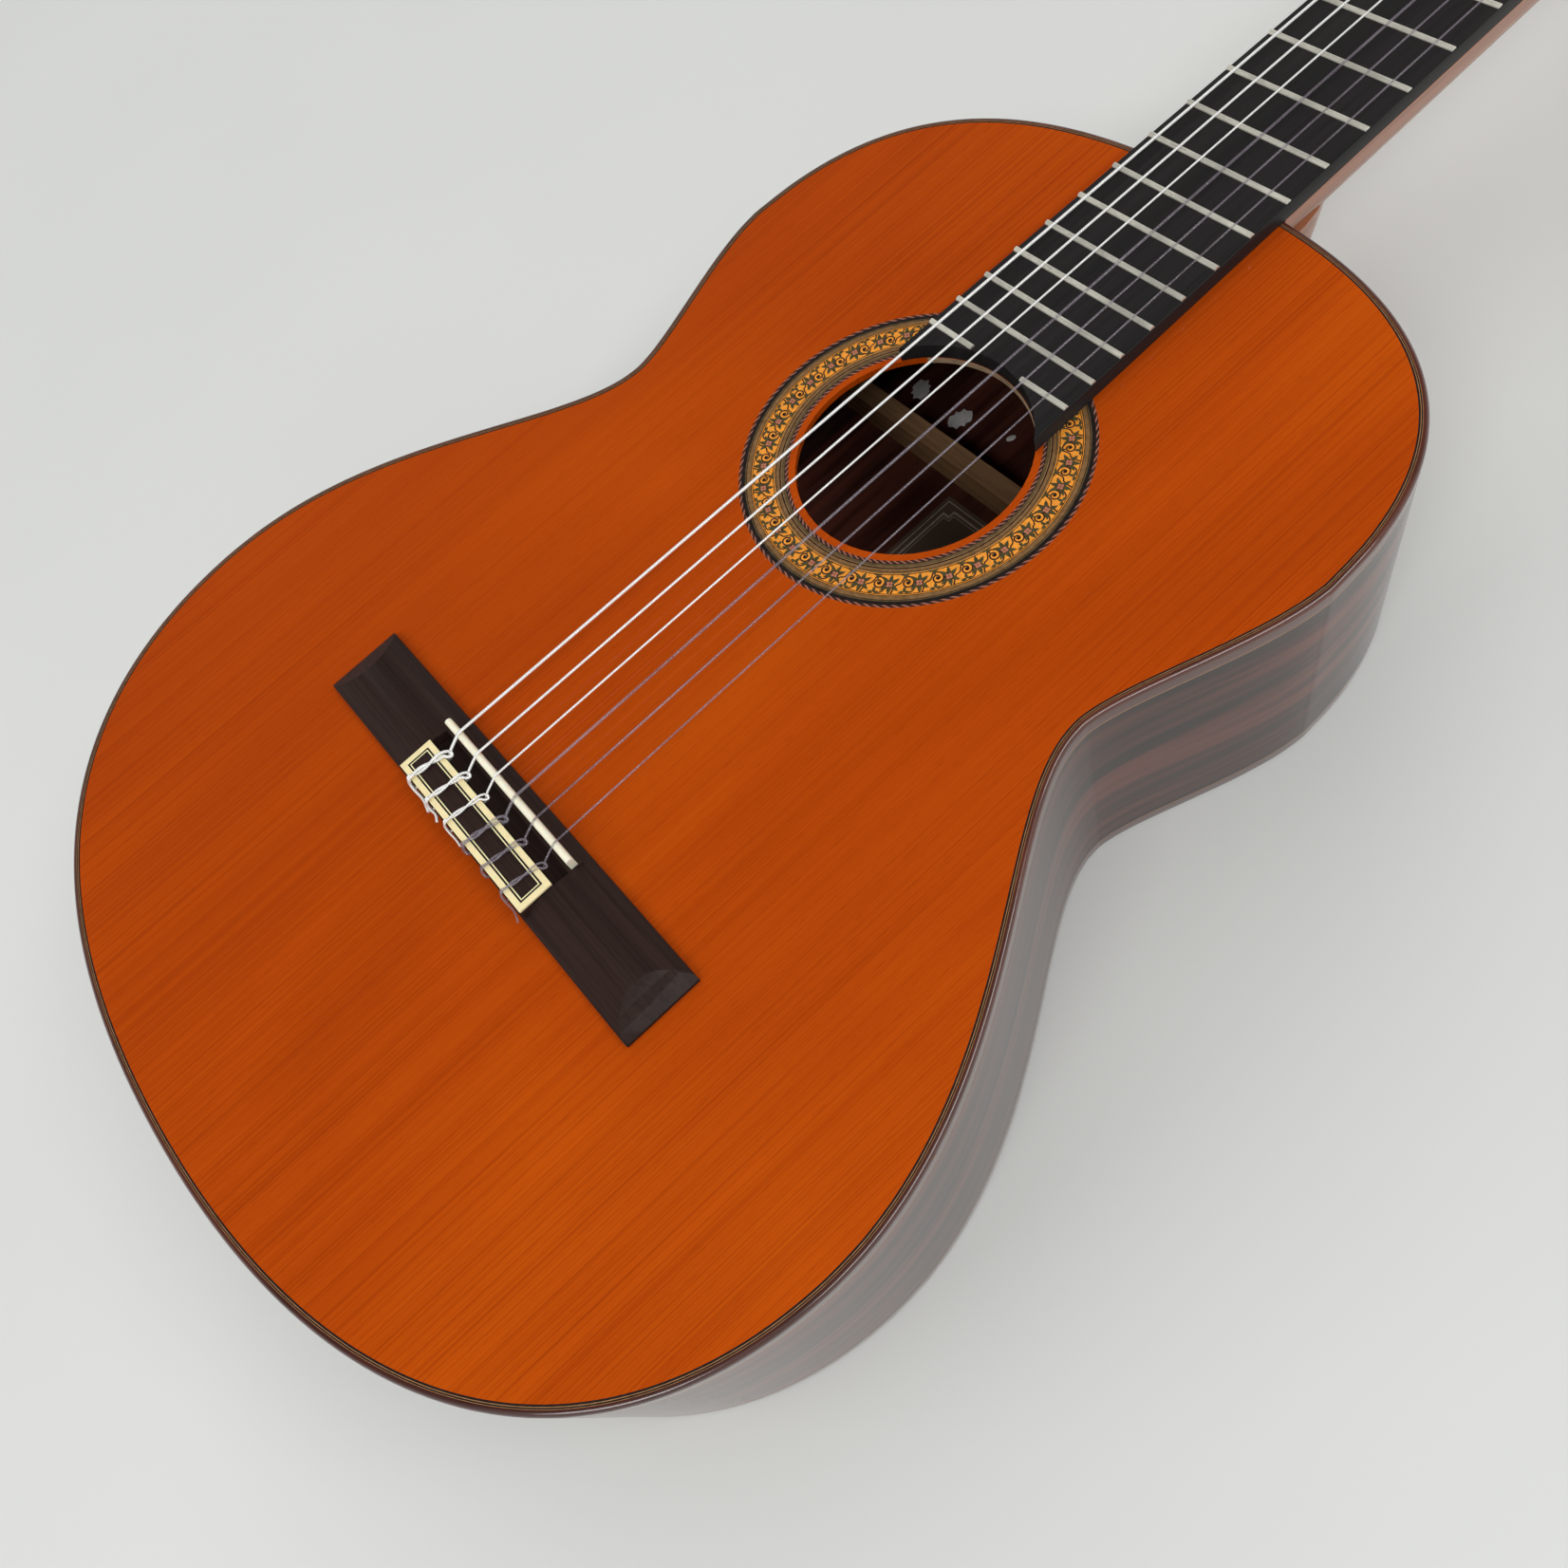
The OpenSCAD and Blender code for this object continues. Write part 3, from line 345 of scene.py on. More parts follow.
def new_piece(name, verts, faces, material, body="root", smooth=True):
    """A mesh object that rides on a body, smooth except at its sharp edges."""
    mesh = bpy.data.meshes.new(name)
    mesh.from_pydata([tuple(v) for v in verts], [], faces)
    mesh.validate()
    bm = bmesh.new()
    bm.from_mesh(mesh)
    bmesh.ops.recalc_face_normals(bm, faces=bm.faces)
    bm.to_mesh(mesh)
    bm.free()
    piece = bpy.data.objects.new(name, mesh)
    bpy.context.scene.collection.objects.link(piece)
    mesh.materials.append(material)
    if smooth:
        mesh.shade_smooth()
        mesh.set_sharp_from_angle(angle=SHARP_EDGE)
    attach(piece, body)
    return piece


def join_meshes(parts):
    """One list of vertices and faces from several."""
    verts, faces = [], []
    for part_verts, part_faces in parts:
        start = len(verts)
        verts += part_verts
        faces += [[i + start for i in face] for face in part_faces]
    return verts, faces


def thicken(verts, faces, depth):
    """A flat sheet made solid: a lower copy of it, and walls along its open edges."""
    n = len(verts)
    edges = {pair for face in faces for pair in zip(face, face[1:] + face[:1])}
    walls = [[a, b, b + n, a + n] for a, b in sorted(edges) if (b, a) not in edges]
    lower = [[i + n for i in reversed(face)] for face in faces]
    return list(verts) + [(x, y, z - depth) for x, y, z in verts], faces + lower + walls


def ring_quads(rings, n, closed=False):
    """The faces between rings of n points in a row, and from the last to the first if closed."""
    quads = []
    for i in range(rings if closed else rings - 1):
        here, there = i * n, (i + 1) % rings * n
        for j in range(n):
            k = (j + 1) % n
            quads.append([here + j, here + k, there + k, there + j])
    return quads


def end_caps(rings, n):
    """The faces that close an open row of rings."""
    return [list(range(n))[::-1], [(rings - 1) * n + j for j in range(n)]]


def tube_mesh(points, radius, sides):
    """A round tube along points, with turned rings that don't twist, and closed ends."""
    count = len(points)
    side = (points[1] - points[0]).normalized().orthogonal().normalized()
    verts = []
    for i, p in enumerate(points):
        ahead = (points[min(i + 1, count - 1)] - points[max(i - 1, 0)]).normalized()
        side = (side - ahead * side.dot(ahead)).normalized()
        other = ahead.cross(side)
        for j in range(sides):
            a = 2 * math.pi * j / sides
            verts.append(p + (side * math.cos(a) + other * math.sin(a)) * radius)
    return verts, ring_quads(count, sides) + end_caps(count, sides)


def smooth_path(points, steps, closed=False):
    """More points on a Catmull-Rom curve through the given ones, so many steps from each to the next."""
    pts = [Vector(p) for p in points]
    n = len(pts)
    out = []
    last = n if closed else n - 1
    for i in range(last):
        if closed:
            p0, p1, p2, p3 = pts[i - 1], pts[i], pts[(i + 1) % n], pts[(i + 2) % n]
        else:
            p0, p1, p2, p3 = pts[max(0, i - 1)], pts[i], pts[i + 1], pts[min(n - 1, i + 2)]
        for k in range(steps):
            t = k / steps
            out.append(0.5 * ((2 * p1) + (p2 - p0) * t + (2 * p0 - 5 * p1 + 4 * p2 - p3) * t * t
                              + (3 * p1 - p0 - 3 * p2 + p3) * t ** 3))
    if not closed:
        out.append(pts[-1])
    return out


def body_loop():
    """The body's outline, anticlockwise from the tail, from the top binding's outer edge."""
    same_level, neighbour, hair = 0.1 * MM, 4 * MM, 0.001 * MM
    top = {}
    for v in NODES["top_binding"].data.vertices:
        if abs(v.co.z - TOP_Z) < same_level:
            top[(round(v.co.x / MM, 2), round(v.co.y / MM, 2))] = (v.co.x, v.co.y)
    points = sorted(top.values(), key=lambda p: math.atan2(p[1], p[0]))
    outer = []
    for i, (x, y) in enumerate(points):
        near = [q for q in points[i - 1:i + 2] + points[:1] if math.dist(q, (x, y)) < neighbour]
        if all(math.hypot(*q) <= math.hypot(x, y) + hair for q in near):
            outer.append(Vector((x, y, 0)))
    start = min(range(len(outer)), key=lambda i: (outer[i].y, abs(outer[i].x)))
    outer = outer[start:] + outer[:start]
    return smooth_path(outer, 4, closed=True)


def loop_normals(loop):
    """The outline's outward normal at each of its points."""
    out = []
    for i in range(len(loop)):
        ahead = (loop[(i + 1) % len(loop)] - loop[i - 1]).normalized()
        out.append(Vector((ahead.y, -ahead.x, 0)))
    return out


LOOP = body_loop()
NORMALS = loop_normals(LOOP)


def rounded_corner(inset, z, radius, up=True, steps=5):
    """Profile points of an outer corner, rounded, from the wall to the flat."""
    out = []
    for i in range(steps + 1):
        a = math.pi / 2 * i / steps
        dz = radius - radius * math.sin(a)
        out.append((inset + radius - radius * math.cos(a), z - dz if up else z + dz))
    return out


def dress(node, material, bevel=0.0, angle=30):
    """A CAD node keeps its shape and gets its material, smooth shading and, where wanted, rounded edges."""
    weld_reach, rounded_from = 0.01 * MM, math.radians(40)
    obj = NODES[node]
    obj.data.materials.clear()
    obj.data.materials.append(material)
    for polygon in obj.data.polygons:
        polygon.material_index = 0
        polygon.use_smooth = True
    welder = obj.modifiers.new("weld", "WELD")
    welder.merge_threshold = weld_reach
    if bevel:
        rounder = obj.modifiers.new("bevel", "BEVEL")
        rounder.width = bevel
        rounder.segments = 3
        rounder.limit_method = "ANGLE"
        rounder.angle_limit = rounded_from
    split = obj.modifiers.new("split", "EDGE_SPLIT")
    split.split_angle = math.radians(angle)


def loop_at(index):
    """The outline's point and outward normal at a whole or fractional index."""
    low = math.floor(index)
    share = index - low
    a, b = low % len(LOOP), (low + 1) % len(LOOP)
    point = LOOP[a].lerp(LOOP[b], share)
    return point, NORMALS[a].lerp(NORMALS[b], share).normalized()


def crossing(x, tail):
    """Fractional index where the outline crosses a given x at its tail end or its neck end."""
    for i in range(len(LOOP)):
        a, b = LOOP[i], LOOP[(i + 1) % len(LOOP)]
        if (a.y < 0) == tail and (a.x - x) * (b.x - x) <= 0 and abs(b.x - a.x) > 1e-9:
            return i + (x - a.x) / (b.x - a.x)
    return 0.0


# How far the swept skins stay inside the outline
SKIN_SET = 0.04 * MM


def swept(name, profile, material, first=None, last=None):
    """The outline carrying a closed profile of (inset, z), all round or from one index to another."""
    closed = first is None
    if closed:
        stations = [float(i) for i in range(len(LOOP))]
    else:
        stations = [first] + [float(i) for i in range(math.floor(first) + 1, math.ceil(last))] + [last]
    n, verts = len(profile), []
    for station in stations:
        point, normal = loop_at(station)
        verts += [tuple(point - normal * (inset + SKIN_SET) + Vector((0, 0, z))) for inset, z in profile]
    faces = ring_quads(len(stations), n, closed)
    if not closed:
        faces += end_caps(len(stations), n)
    return new_piece(name, verts, faces, material)


def annulus(name, r_in, r_out, z_low, z_high, material, steps=256):
    """A flat ring round the soundhole's middle."""
    section = ((r_in, z_low), (r_out, z_low), (r_out, z_high), (r_in, z_high))
    verts = []
    for i in range(steps):
        a = 2 * math.pi * i / steps
        verts += [(r * math.cos(a), HOLE_Y + r * math.sin(a), z) for r, z in section]
    return new_piece(name, verts, ring_quads(steps, len(section), closed=True), material)


def node_radius(node, pick):
    """The least or greatest distance of a node's points from the soundhole's axis."""
    return pick(math.hypot(v.co.x, v.co.y - HOLE_Y) for v in NODES[node].data.vertices)


# ---------------------------------------------------------------- sides, bindings and purfling
SIDE_T = binding_box[1][0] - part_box("top_purfling")[1][0]
PURFLING_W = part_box("top_purfling")[1][0] - sound_box[1][0]
BINDING_LOW = binding_box[0][2]
BACK_BINDING_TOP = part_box("back_binding")[1][2]
GRAFT_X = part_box("end_graft")[1][0]
# Half the gap that the sides leave for the neck's foot
CORE_X = 25 * MM
EDGE_ROUND = 1.6 * MM
# Lines and rings that show in the soundboard stand this far above it
FLUSH = 0.01 * MM
# Widths of the tan and black purfling lines from the binding inwards, as shares of the whole
PURFLING_SHARES = (0.12, 0.34, 0.18, 0.36)
# The innermost line reaches this far over the soundboard
PURFLING_LAP = 0.15 * MM
# The tan line between side and binding
LINE_H = 0.45 * MM
LINE_DEPTH = 0.3 * MM


def make_sides():
    """Each side from the end graft to the neck, and the graft between them, as high as the bare wood."""
    wall = [(0, BACK_BINDING_TOP), (0, BINDING_LOW), (SIDE_T, BINDING_LOW), (SIDE_T, BACK_BINDING_TOP)]
    treble = swept("side_treble_skin", wall, SIDE_WOOD, crossing(GRAFT_X, True), crossing(CORE_X, False))
    bass = swept("side_bass_skin", wall, SIDE_WOOD, crossing(-CORE_X, False), crossing(-GRAFT_X, True))
    graft = swept("end_graft_skin", wall, BINDING_WOOD, crossing(-GRAFT_X, True) - len(LOOP),
                  crossing(GRAFT_X, True))
    for piece, node in ((treble, "side_treble"), (bass, "side_bass"), (graft, "end_graft")):
        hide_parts(node)


def make_bindings():
    """The upper and lower rims, each with its outer corner rounded."""
    top = rounded_corner(0, TOP_Z, EDGE_ROUND)
    upper = swept("top_binding_rim", [(0, BINDING_LOW)] + top + [(SIDE_T, TOP_Z), (SIDE_T, BINDING_LOW)],
                  BINDING_WOOD)
    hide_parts("top_binding")
    foot = rounded_corner(0, 0, EDGE_ROUND, up=False)
    lower = swept("back_binding_rim",
                  [(0, BACK_BINDING_TOP)] + foot + [(SIDE_T, 0), (SIDE_T, BACK_BINDING_TOP)], BINDING_WOOD)
    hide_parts("back_binding")


def make_purfling():
    """Tan and black lines in turn, from the binding inwards."""
    low, lift = sound_box[0][2], TOP_Z + FLUSH
    end = 0.0
    for number, share in enumerate(PURFLING_SHARES, 1):
        start, end = end, end + share * PURFLING_W
        material = TAN_LINE if number % 2 else BLACK_LINE
        if number == len(PURFLING_SHARES):
            end += PURFLING_LAP
        ring = [(SIDE_T + start, low), (SIDE_T + start, lift), (SIDE_T + end, lift), (SIDE_T + end, low)]
        piece = swept(f"purfling_line_{number}", ring, material)
        if number == 1:
            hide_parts("top_purfling")


def make_side_lines():
    """A thin tan line where each binding meets the sides."""
    proud = -SKIN_SET / 2
    for name, z in (("side_line_top", BINDING_LOW), ("side_line_back", BACK_BINDING_TOP)):
        low, high = z - LINE_H / 2, z + LINE_H / 2
        line = [(proud, low), (proud, high), (LINE_DEPTH, high), (LINE_DEPTH, low)]
        swept(name, line, TAN_LINE)


# ---------------------------------------------------------------- rosette
MOTIFS = 34
# Each layer of inlay lies this much above the one below it, and is this thick
LIFT = 0.03 * MM
INLAY_T = 0.1 * MM
# The motifs stay this far inside the mosaic's edges, in millimetres
MARGIN = 0.15


def strip(points, width):
    """A flat ribbon of quads along points given as (s, t)."""
    left, right = [], []
    for i, p in enumerate(points):
        q, r = points[max(0, i - 1)], points[min(len(points) - 1, i + 1)]
        dx, dy = r[0] - q[0], r[1] - q[1]
        size = math.hypot(dx, dy) or 1.0
        nx, ny = -dy / size * width / 2, dx / size * width / 2
        left.append((p[0] + nx, p[1] + ny))
        right.append((p[0] - nx, p[1] - ny))
    n = len(points)
    return left + right, [[i, i + 1, n + i + 1, n + i] for i in range(n - 1)]


def leaf(centre, angle, length, width, steps=6):
    """A pointed leaf from its stalk at centre, fuller near the stalk than near the tip."""
    rim = []
    for side in (1, -1):
        order = range(steps + 1) if side > 0 else range(steps - 1, 0, -1)
        for i in order:
            t = i / steps
            rim.append((length * t, side * width / 2 * math.sin(math.pi * t) ** 0.8 * (1.15 - 0.5 * t)))
    c, s = math.cos(angle), math.sin(angle)
    verts = [(centre[0] + x * c - y * s, centre[1] + x * s + y * c) for x, y in rim]
    return verts, [list(range(len(verts)))]


def disc(centre, radius, steps=12):
    """A flat disc, for petals and the middles of flower and scroll."""
    verts = [(centre[0] + radius * math.cos(2 * math.pi * i / steps),
              centre[1] + radius * math.sin(2 * math.pi * i / steps)) for i in range(steps)]
    return verts, [list(range(steps))]


def motif_layers(width):
    """One motif's shapes by material and height: vines and scroll, leaves, then the rose.

    Places are in millimetres along the band and across it, from the motif's middle and the inner edge.
    """
    rose = (-1.3, width * 0.50)
    eye = (2.5, width * 0.44)
    turns = [i / 28 for i in range(29)]
    scroll = [(eye[0] + (0.3 + 2.15 * t) * math.cos(1.0 + 10.2 * t),
               eye[1] + (0.3 + 2.15 * t) * math.sin(1.0 + 10.2 * t)) for t in turns]
    vine = [(-6.4 + 4.4 * t, width * (0.05 + 0.90 * t) + 1.0 * math.sin(2 * math.pi * t)) for t in turns]
    stem = [(rose[0] + 0.9 + 2.9 * t, rose[1] + 0.8 + 2.4 * math.sin(2.0 * t)) for t in turns[::2]]
    edges = [strip([(-5.8 + 11.6 * t, level) for t in turns], 0.3) for level in (0.4, width - 0.4)]
    dark = edges + [strip(scroll, 0.55), strip(vine, 0.5), strip(stem, 0.5), disc(eye, 0.6),
                    disc(rose, 1.6)]
    leaves = [leaf(rose, math.radians(a), 3.9, 1.6) for a in (38, 88, 140, 215, 262, 312)]
    leaves += [leaf((3.6, width * 0.86), math.radians(a), 2.0, 1.1) for a in (5, 175, 265)]
    leaves += [leaf((3.4, width * 0.06), math.radians(a), 2.0, 1.1) for a in (-5, 100, 185)]
    out = 0.72 * math.sqrt(0.5)
    petals = [disc((rose[0] + sx * out, rose[1] + sy * out), 0.52) for sx in (1, -1) for sy in (1, -1)]
    return [(dark, SCROLL_DARK, 1.0), (leaves, LEAF_GREEN, 2.0), (petals, ROSE_PINK, 3.0)]


def make_mosaic():
    """A gold ground with the motif set round it in three thin layers."""
    inner = node_radius("rosette_mosaic", min)
    width = (MOSAIC_OUT - inner) / MM
    ground = annulus("mosaic_ground", inner, MOSAIC_OUT, mosaic_box[0][2], TOP_Z + FLUSH, GOLD_GROUND)
    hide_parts("rosette_mosaic")
    middle = (inner + MOSAIC_OUT) / 2
    for number, (shapes, material, level) in enumerate(motif_layers(width), 1):
        parts = []
        for m in range(MOTIFS):
            turn = 2 * math.pi * m / MOTIFS
            for verts, faces in shapes:
                placed = []
                for s, t in verts:
                    r = inner + min(max(t, MARGIN), width - MARGIN) * MM
                    a = turn - s * MM / middle
                    placed.append((r * math.cos(a), HOLE_Y + r * math.sin(a), TOP_Z + level * LIFT))
                parts.append((placed, faces))
        verts, faces = thicken(*join_meshes(parts), INLAY_T)
        layer = new_piece(f"mosaic_layer_{number}", verts, faces, material, smooth=False)


def make_rosette_lines():
    """The rings on both sides of the mosaic, from the inside out; the last one fills what is left."""
    first = node_radius("rosette_lines", min)
    middle = node_radius("rosette_mosaic", min)
    rest = 9
    inner = [(1.1, ROPE), (0.25, BLACK_LINE), (1.1, OLIVE_LINE), (0.2, TAN_LINE), (0.5, BLACK_LINE),
             (1.1, BROWN_LINE), (0.2, BLACK_LINE), (rest, BROWN_LINE)]
    outer = [(0.25, BLACK_LINE), (1.5, BROWN_LINE), (0.25, BLACK_LINE), (0.4, OLIVE_LINE),
             (1.3, BLACK_LINE), (rest, ROPE)]
    low = rosette_box[0][2]
    sets = (("inner", inner, first, middle), ("outer", outer, MOSAIC_OUT, ROSETTE_OUT))
    for side, rings, r, limit in sets:
        for number, (width, material) in enumerate(rings, 1):
            end = min(r + width * MM, limit)
            piece = annulus(f"rosette_{side}_line_{number}", r, end, low, TOP_Z + FLUSH, material)
            if side == "inner" and number == 1:
                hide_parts("rosette_lines")
            r = end


# Half the width of the rim's pale stretch, a little less than the fingerboard's
RIM_HALF_W = 26.5 * MM


def make_hole_rim():
    """The soundboard's bare cut edge, pale under the end of the fingerboard."""
    gap, thick = 0.02 * MM, 0.08 * MM
    r_out = node_radius("soundboard", min) - gap
    r_in = r_out - thick
    reach = math.asin(RIM_HALF_W / r_out)
    low = sound_box[0][2]
    section = ((r_in, low), (r_out, low), (r_out, TOP_Z), (r_in, TOP_Z))
    steps = 48
    verts = []
    for i in range(steps + 1):
        a = math.pi / 2 - reach + 2 * reach * i / steps
        verts += [(r * math.cos(a), HOLE_Y + r * math.sin(a), z) for r, z in section]
    faces = ring_quads(steps + 1, len(section)) + end_caps(steps + 1, len(section))
    new_piece("soundhole_cut_edge", verts, faces, CUT_WOOD)


# ---------------------------------------------------------------- bridge trim
def frame_strip(name, inset, width, material):
    """A flat rectangular frame on the tie block, a given distance in from its edge."""
    lo, hi = inlay_box
    sunk = 0.3 * MM
    top, bottom = hi[2] + LIFT, hi[2] - sunk
    verts = []
    for d in (inset, inset + width):
        x0, x1, y0, y1 = lo[0] + d, hi[0] - d, lo[1] + d, hi[1] - d
        for x, y in ((x0, y0), (x1, y0), (x1, y1), (x0, y1)):
            verts += [(x, y, top), (x, y, bottom)]
    faces = []
    for i in range(4):
        j = (i + 1) % 4
        a, b, c, d = 2 * i, 2 * j, 8 + 2 * j, 8 + 2 * i
        faces += [[a, b, c, d], [a + 1, d + 1, c + 1, b + 1], [a, a + 1, b + 1, b], [d, c, c + 1, d + 1]]
    return new_piece(name, verts, faces, material, smooth=False)


def make_tie_block_lines():
    """A cream line between two black ones, inside the bone border."""
    border = 2.1 * MM
    for name, start, width, material in (("tie_block_black_line", 0, 0.6, BLACK_LINE),
                                         ("tie_block_cream_line", 0.6, 0.42, CREAM),
                                         ("tie_block_inner_line", 1.02, 0.45, BLACK_LINE)):
        frame_strip(name, border + start * MM, width * MM, material)


# ---------------------------------------------------------------- strings
JOINTS = {joint["name"]: joint for joint in frame["joints"]}
HEAD_UP = Vector(JOINTS["button_1_turn"]["axis"]).normalized()
ACROSS = X_AXIS
HEAD_ALONG = HEAD_UP.cross(ACROSS).normalized()
# Radii in millimetres; strings 1 to 3 are plain nylon and 4 to 6 are wound
STRING_RADII = {1: 0.36, 2: 0.41, 3: 0.51, 4: 0.38, 5: 0.46, 6: 0.55}
PLAIN_STRINGS = (1, 2, 3)
# Loose ends at the tie block: how far each reaches sideways and backwards, in millimetres
LOOSE_ENDS = {1: (9.0, 2.6), 4: (7.5, 1.6), 5: (5.5, 2.6), 6: (11.5, 2.6)}
# The tie block's holes above the soundboard
TIE_HOLE_H = 5 * MM
ROLLER_R = 4.9 * MM
# How deep a string beds into the saddle
BEDDING = 0.03 * MM
SADDLE_Y = (saddle_box[0][1] + saddle_box[1][1]) / 2


def string_point(k, y):
    """Middle of a string's CAD tube in the ring nearest to a given y."""
    ring_reach = 0.25 * MM
    points = [v.co for v in NODES[f"string_{k}"].data.vertices]
    nearest = min(abs(p.y - y) for p in points)
    ring = [p for p in points if abs(p.y - y) < nearest + ring_reach]
    return sum(ring, Vector((0, 0, 0))) / len(ring)


def twist(x, r):
    """The two strands twisted round each other over the tie block, both listed from rear to front."""
    front, rear, top = inlay_box[1][1], inlay_box[0][1], inlay_box[1][2]
    turns, steps, start, least_spread = 0.95, 9, math.radians(200), 0.42 * MM
    wide = max(r, least_spread)
    strands = []
    for phase in (start, start + math.pi):
        points = []
        for i in range(steps + 1):
            share = i / steps
            lean = x - 1.1 * MM + 1.9 * MM * share
            spread = wide * (1.05 + 1.1 * max(0.0, share - 0.55) + 0.5 * max(0.0, 0.2 - share))
            a = phase + 2 * math.pi * turns * share
            points.append(Vector((lean + spread * math.cos(a), rear + (front - rear) * share,
                                  top + r + wide + wide * math.sin(a) * 0.98)))
        strands.append(points)
    return strands


def tie_path(k, x, r):
    """From the loop in front of the tie block through its hole, over the block twice, to the loose end."""
    front, rear, top = inlay_box[1][1], inlay_box[0][1], inlay_box[1][2]
    hole = TOP_Z + TIE_HOLE_H

    def places(y, z, offsets):
        """Points given in millimetres from the string's line, a level y and a level z."""
        return [Vector((x + dx * MM, y + dy * MM, z + dz * MM)) for dx, dy, dz in offsets]

    forward, backward = twist(x, r)
    turn_x = (forward[-1].x - x) / MM
    last_x = (backward[0].x - x) / MM
    path = places(front, top, [(1.08, 3.4, 0.55), (1.5, 1.9, -0.6)])
    path += places(front, hole, [(0.8, 0.9, 1.2), (0, 0, 0)])
    path += places(rear, hole, [(0, 0, 0), (-0.3, -1.3, 1.2)])
    path += places(rear, top, [(-0.7, -1.15, -0.8)])
    path += forward
    path += places(front, top, [(turn_x + 0.4, 1.5, 0.5), (2.0, 2.6, 0.9), (3.0, 2.3, 0.2),
                                (2.7, 1.1, 0.4)])
    path += backward[::-1]
    path += places(rear, top, [(last_x, -0.9, 0.1), (-1.0, -1.4, -1.5)])
    if k in LOOSE_ENDS:
        reach, behind = LOOSE_ENDS[k]
        return path + places(rear, top, [(0.2 * reach, -1.5, -2.3), (0.6 * reach, -1.3, -2.5),
                                         (reach, -behind, -3.2)])
    return path + places(rear, top, [(0.6, -1.2, -2.6)])


def first_wind_x(k):
    """Where a string first meets its roller, from the middle of its CAD tube there."""
    coil_reach = 8 * MM
    axis_x, *axis_yz = JOINTS[f"roller_{k}_turn"]["pos_m"]
    near = [v.co for v in NODES[f"string_{k}"].data.vertices
            if math.dist((v.co.y, v.co.z), axis_yz) < coil_reach]
    inner = min(abs(p.x) for p in near)
    return math.copysign(inner + STRING_RADII[k] * MM, axis_x)


def run_path(k, r, top_point):
    """From the loose end over the saddle and the nut to the top of the roller."""
    saddle_point = string_point(k, SADDLE_Y)
    crown = Vector((saddle_point.x, saddle_point.y, saddle_box[1][2] + r - BEDDING))
    nut_front = string_point(k, NUT_Y)
    nut_back = Vector((nut_front.x, nut_box[1][1], nut_front.z))
    tie = smooth_path([crown] + tie_path(k, saddle_point.x, r), 5)
    speaking = [crown + (nut_front - crown) * i / 40 for i in range(1, 41)]
    return tie[::-1] + speaking + [nut_back] + [nut_back.lerp(top_point, i / 6) for i in range(1, 7)]


def winding_path(start, outward, r):
    """Turns round the roller, from a place on its axis outwards along it."""
    turns, steps, gap = 3.25, 24, 0.04 * MM
    pitch = outward * (2 * r + gap)
    coil = []
    for i in range(int(turns * steps) + 1):
        a = math.radians(90) - 2 * math.pi * i / steps
        coil.append(start + ACROSS * pitch * i / steps
                    + (HEAD_ALONG * math.cos(a) + HEAD_UP * math.sin(a)) * (ROLLER_R + r))
    return coil


def make_string(k):
    """The run stays on the guitar, and the winding rides on its roller."""
    r = STRING_RADII[k] * MM
    material, slot = (NYLON, "nylon_string") if k in PLAIN_STRINGS else (SILVER, "wound_string")
    axis_point = Vector(JOINTS[f"roller_{k}_turn"]["pos_m"])
    start = Vector((first_wind_x(k), axis_point.y, axis_point.z))
    verts, faces = tube_mesh(run_path(k, r, start + HEAD_UP * (ROLLER_R + r)), r, 12)
    run = new_piece(f"string_{k}_run", verts, faces, material)
    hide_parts(f"string_{k}")
    outward = math.copysign(1, axis_point.x)
    verts, faces = tube_mesh(winding_path(start, outward, r), r, 10)
    winding = new_piece(f"string_{k}_winding", verts, faces, material, JOINTS[f"roller_{k}_turn"]["child"])


# ---------------------------------------------------------------- tuner buttons
GRIP_HALF_H = 7.0 * MM
# The grip's roundness: 2 is an oval, and more is squarer, from its edge to its face, round it and upwards
FACE_POWER, ROUND_POWER, UP_POWER = 2.6, 2.3, 2.2
# Shares by which the grip narrows towards its collar, and by which its middle is hollowed
TAPER, HOLLOW = 0.16, 0.20
# The collar's height above the grip's low end, and its profile of radius and height in millimetres
COLLAR_H = 16.5 * MM
COLLAR = [(1.5, 0), (3.3, 0), (3.5, 0.4), (3.1, 1.0), (2.5, 1.7), (2.3, 2.2), (2.6, 2.6), (2.6, 3.1),
          (1.5, 3.1)]


def lathe(name, origin, profile, material, body, steps=40):
    """A closed ring turned round HEAD_UP from (radius, height) pairs in millimetres."""
    verts = []
    for i in range(steps):
        a = 2 * math.pi * i / steps
        out = ACROSS * math.cos(a) + HEAD_ALONG * math.sin(a)
        verts += [origin + out * r * MM + HEAD_UP * h * MM for r, h in profile]
    return new_piece(name, verts, ring_quads(steps, len(profile), closed=True), material, body)


def signed_power(value, power):
    """A power that keeps the value's sign, for the curve of a superellipse."""
    return math.copysign(abs(value) ** power, value)


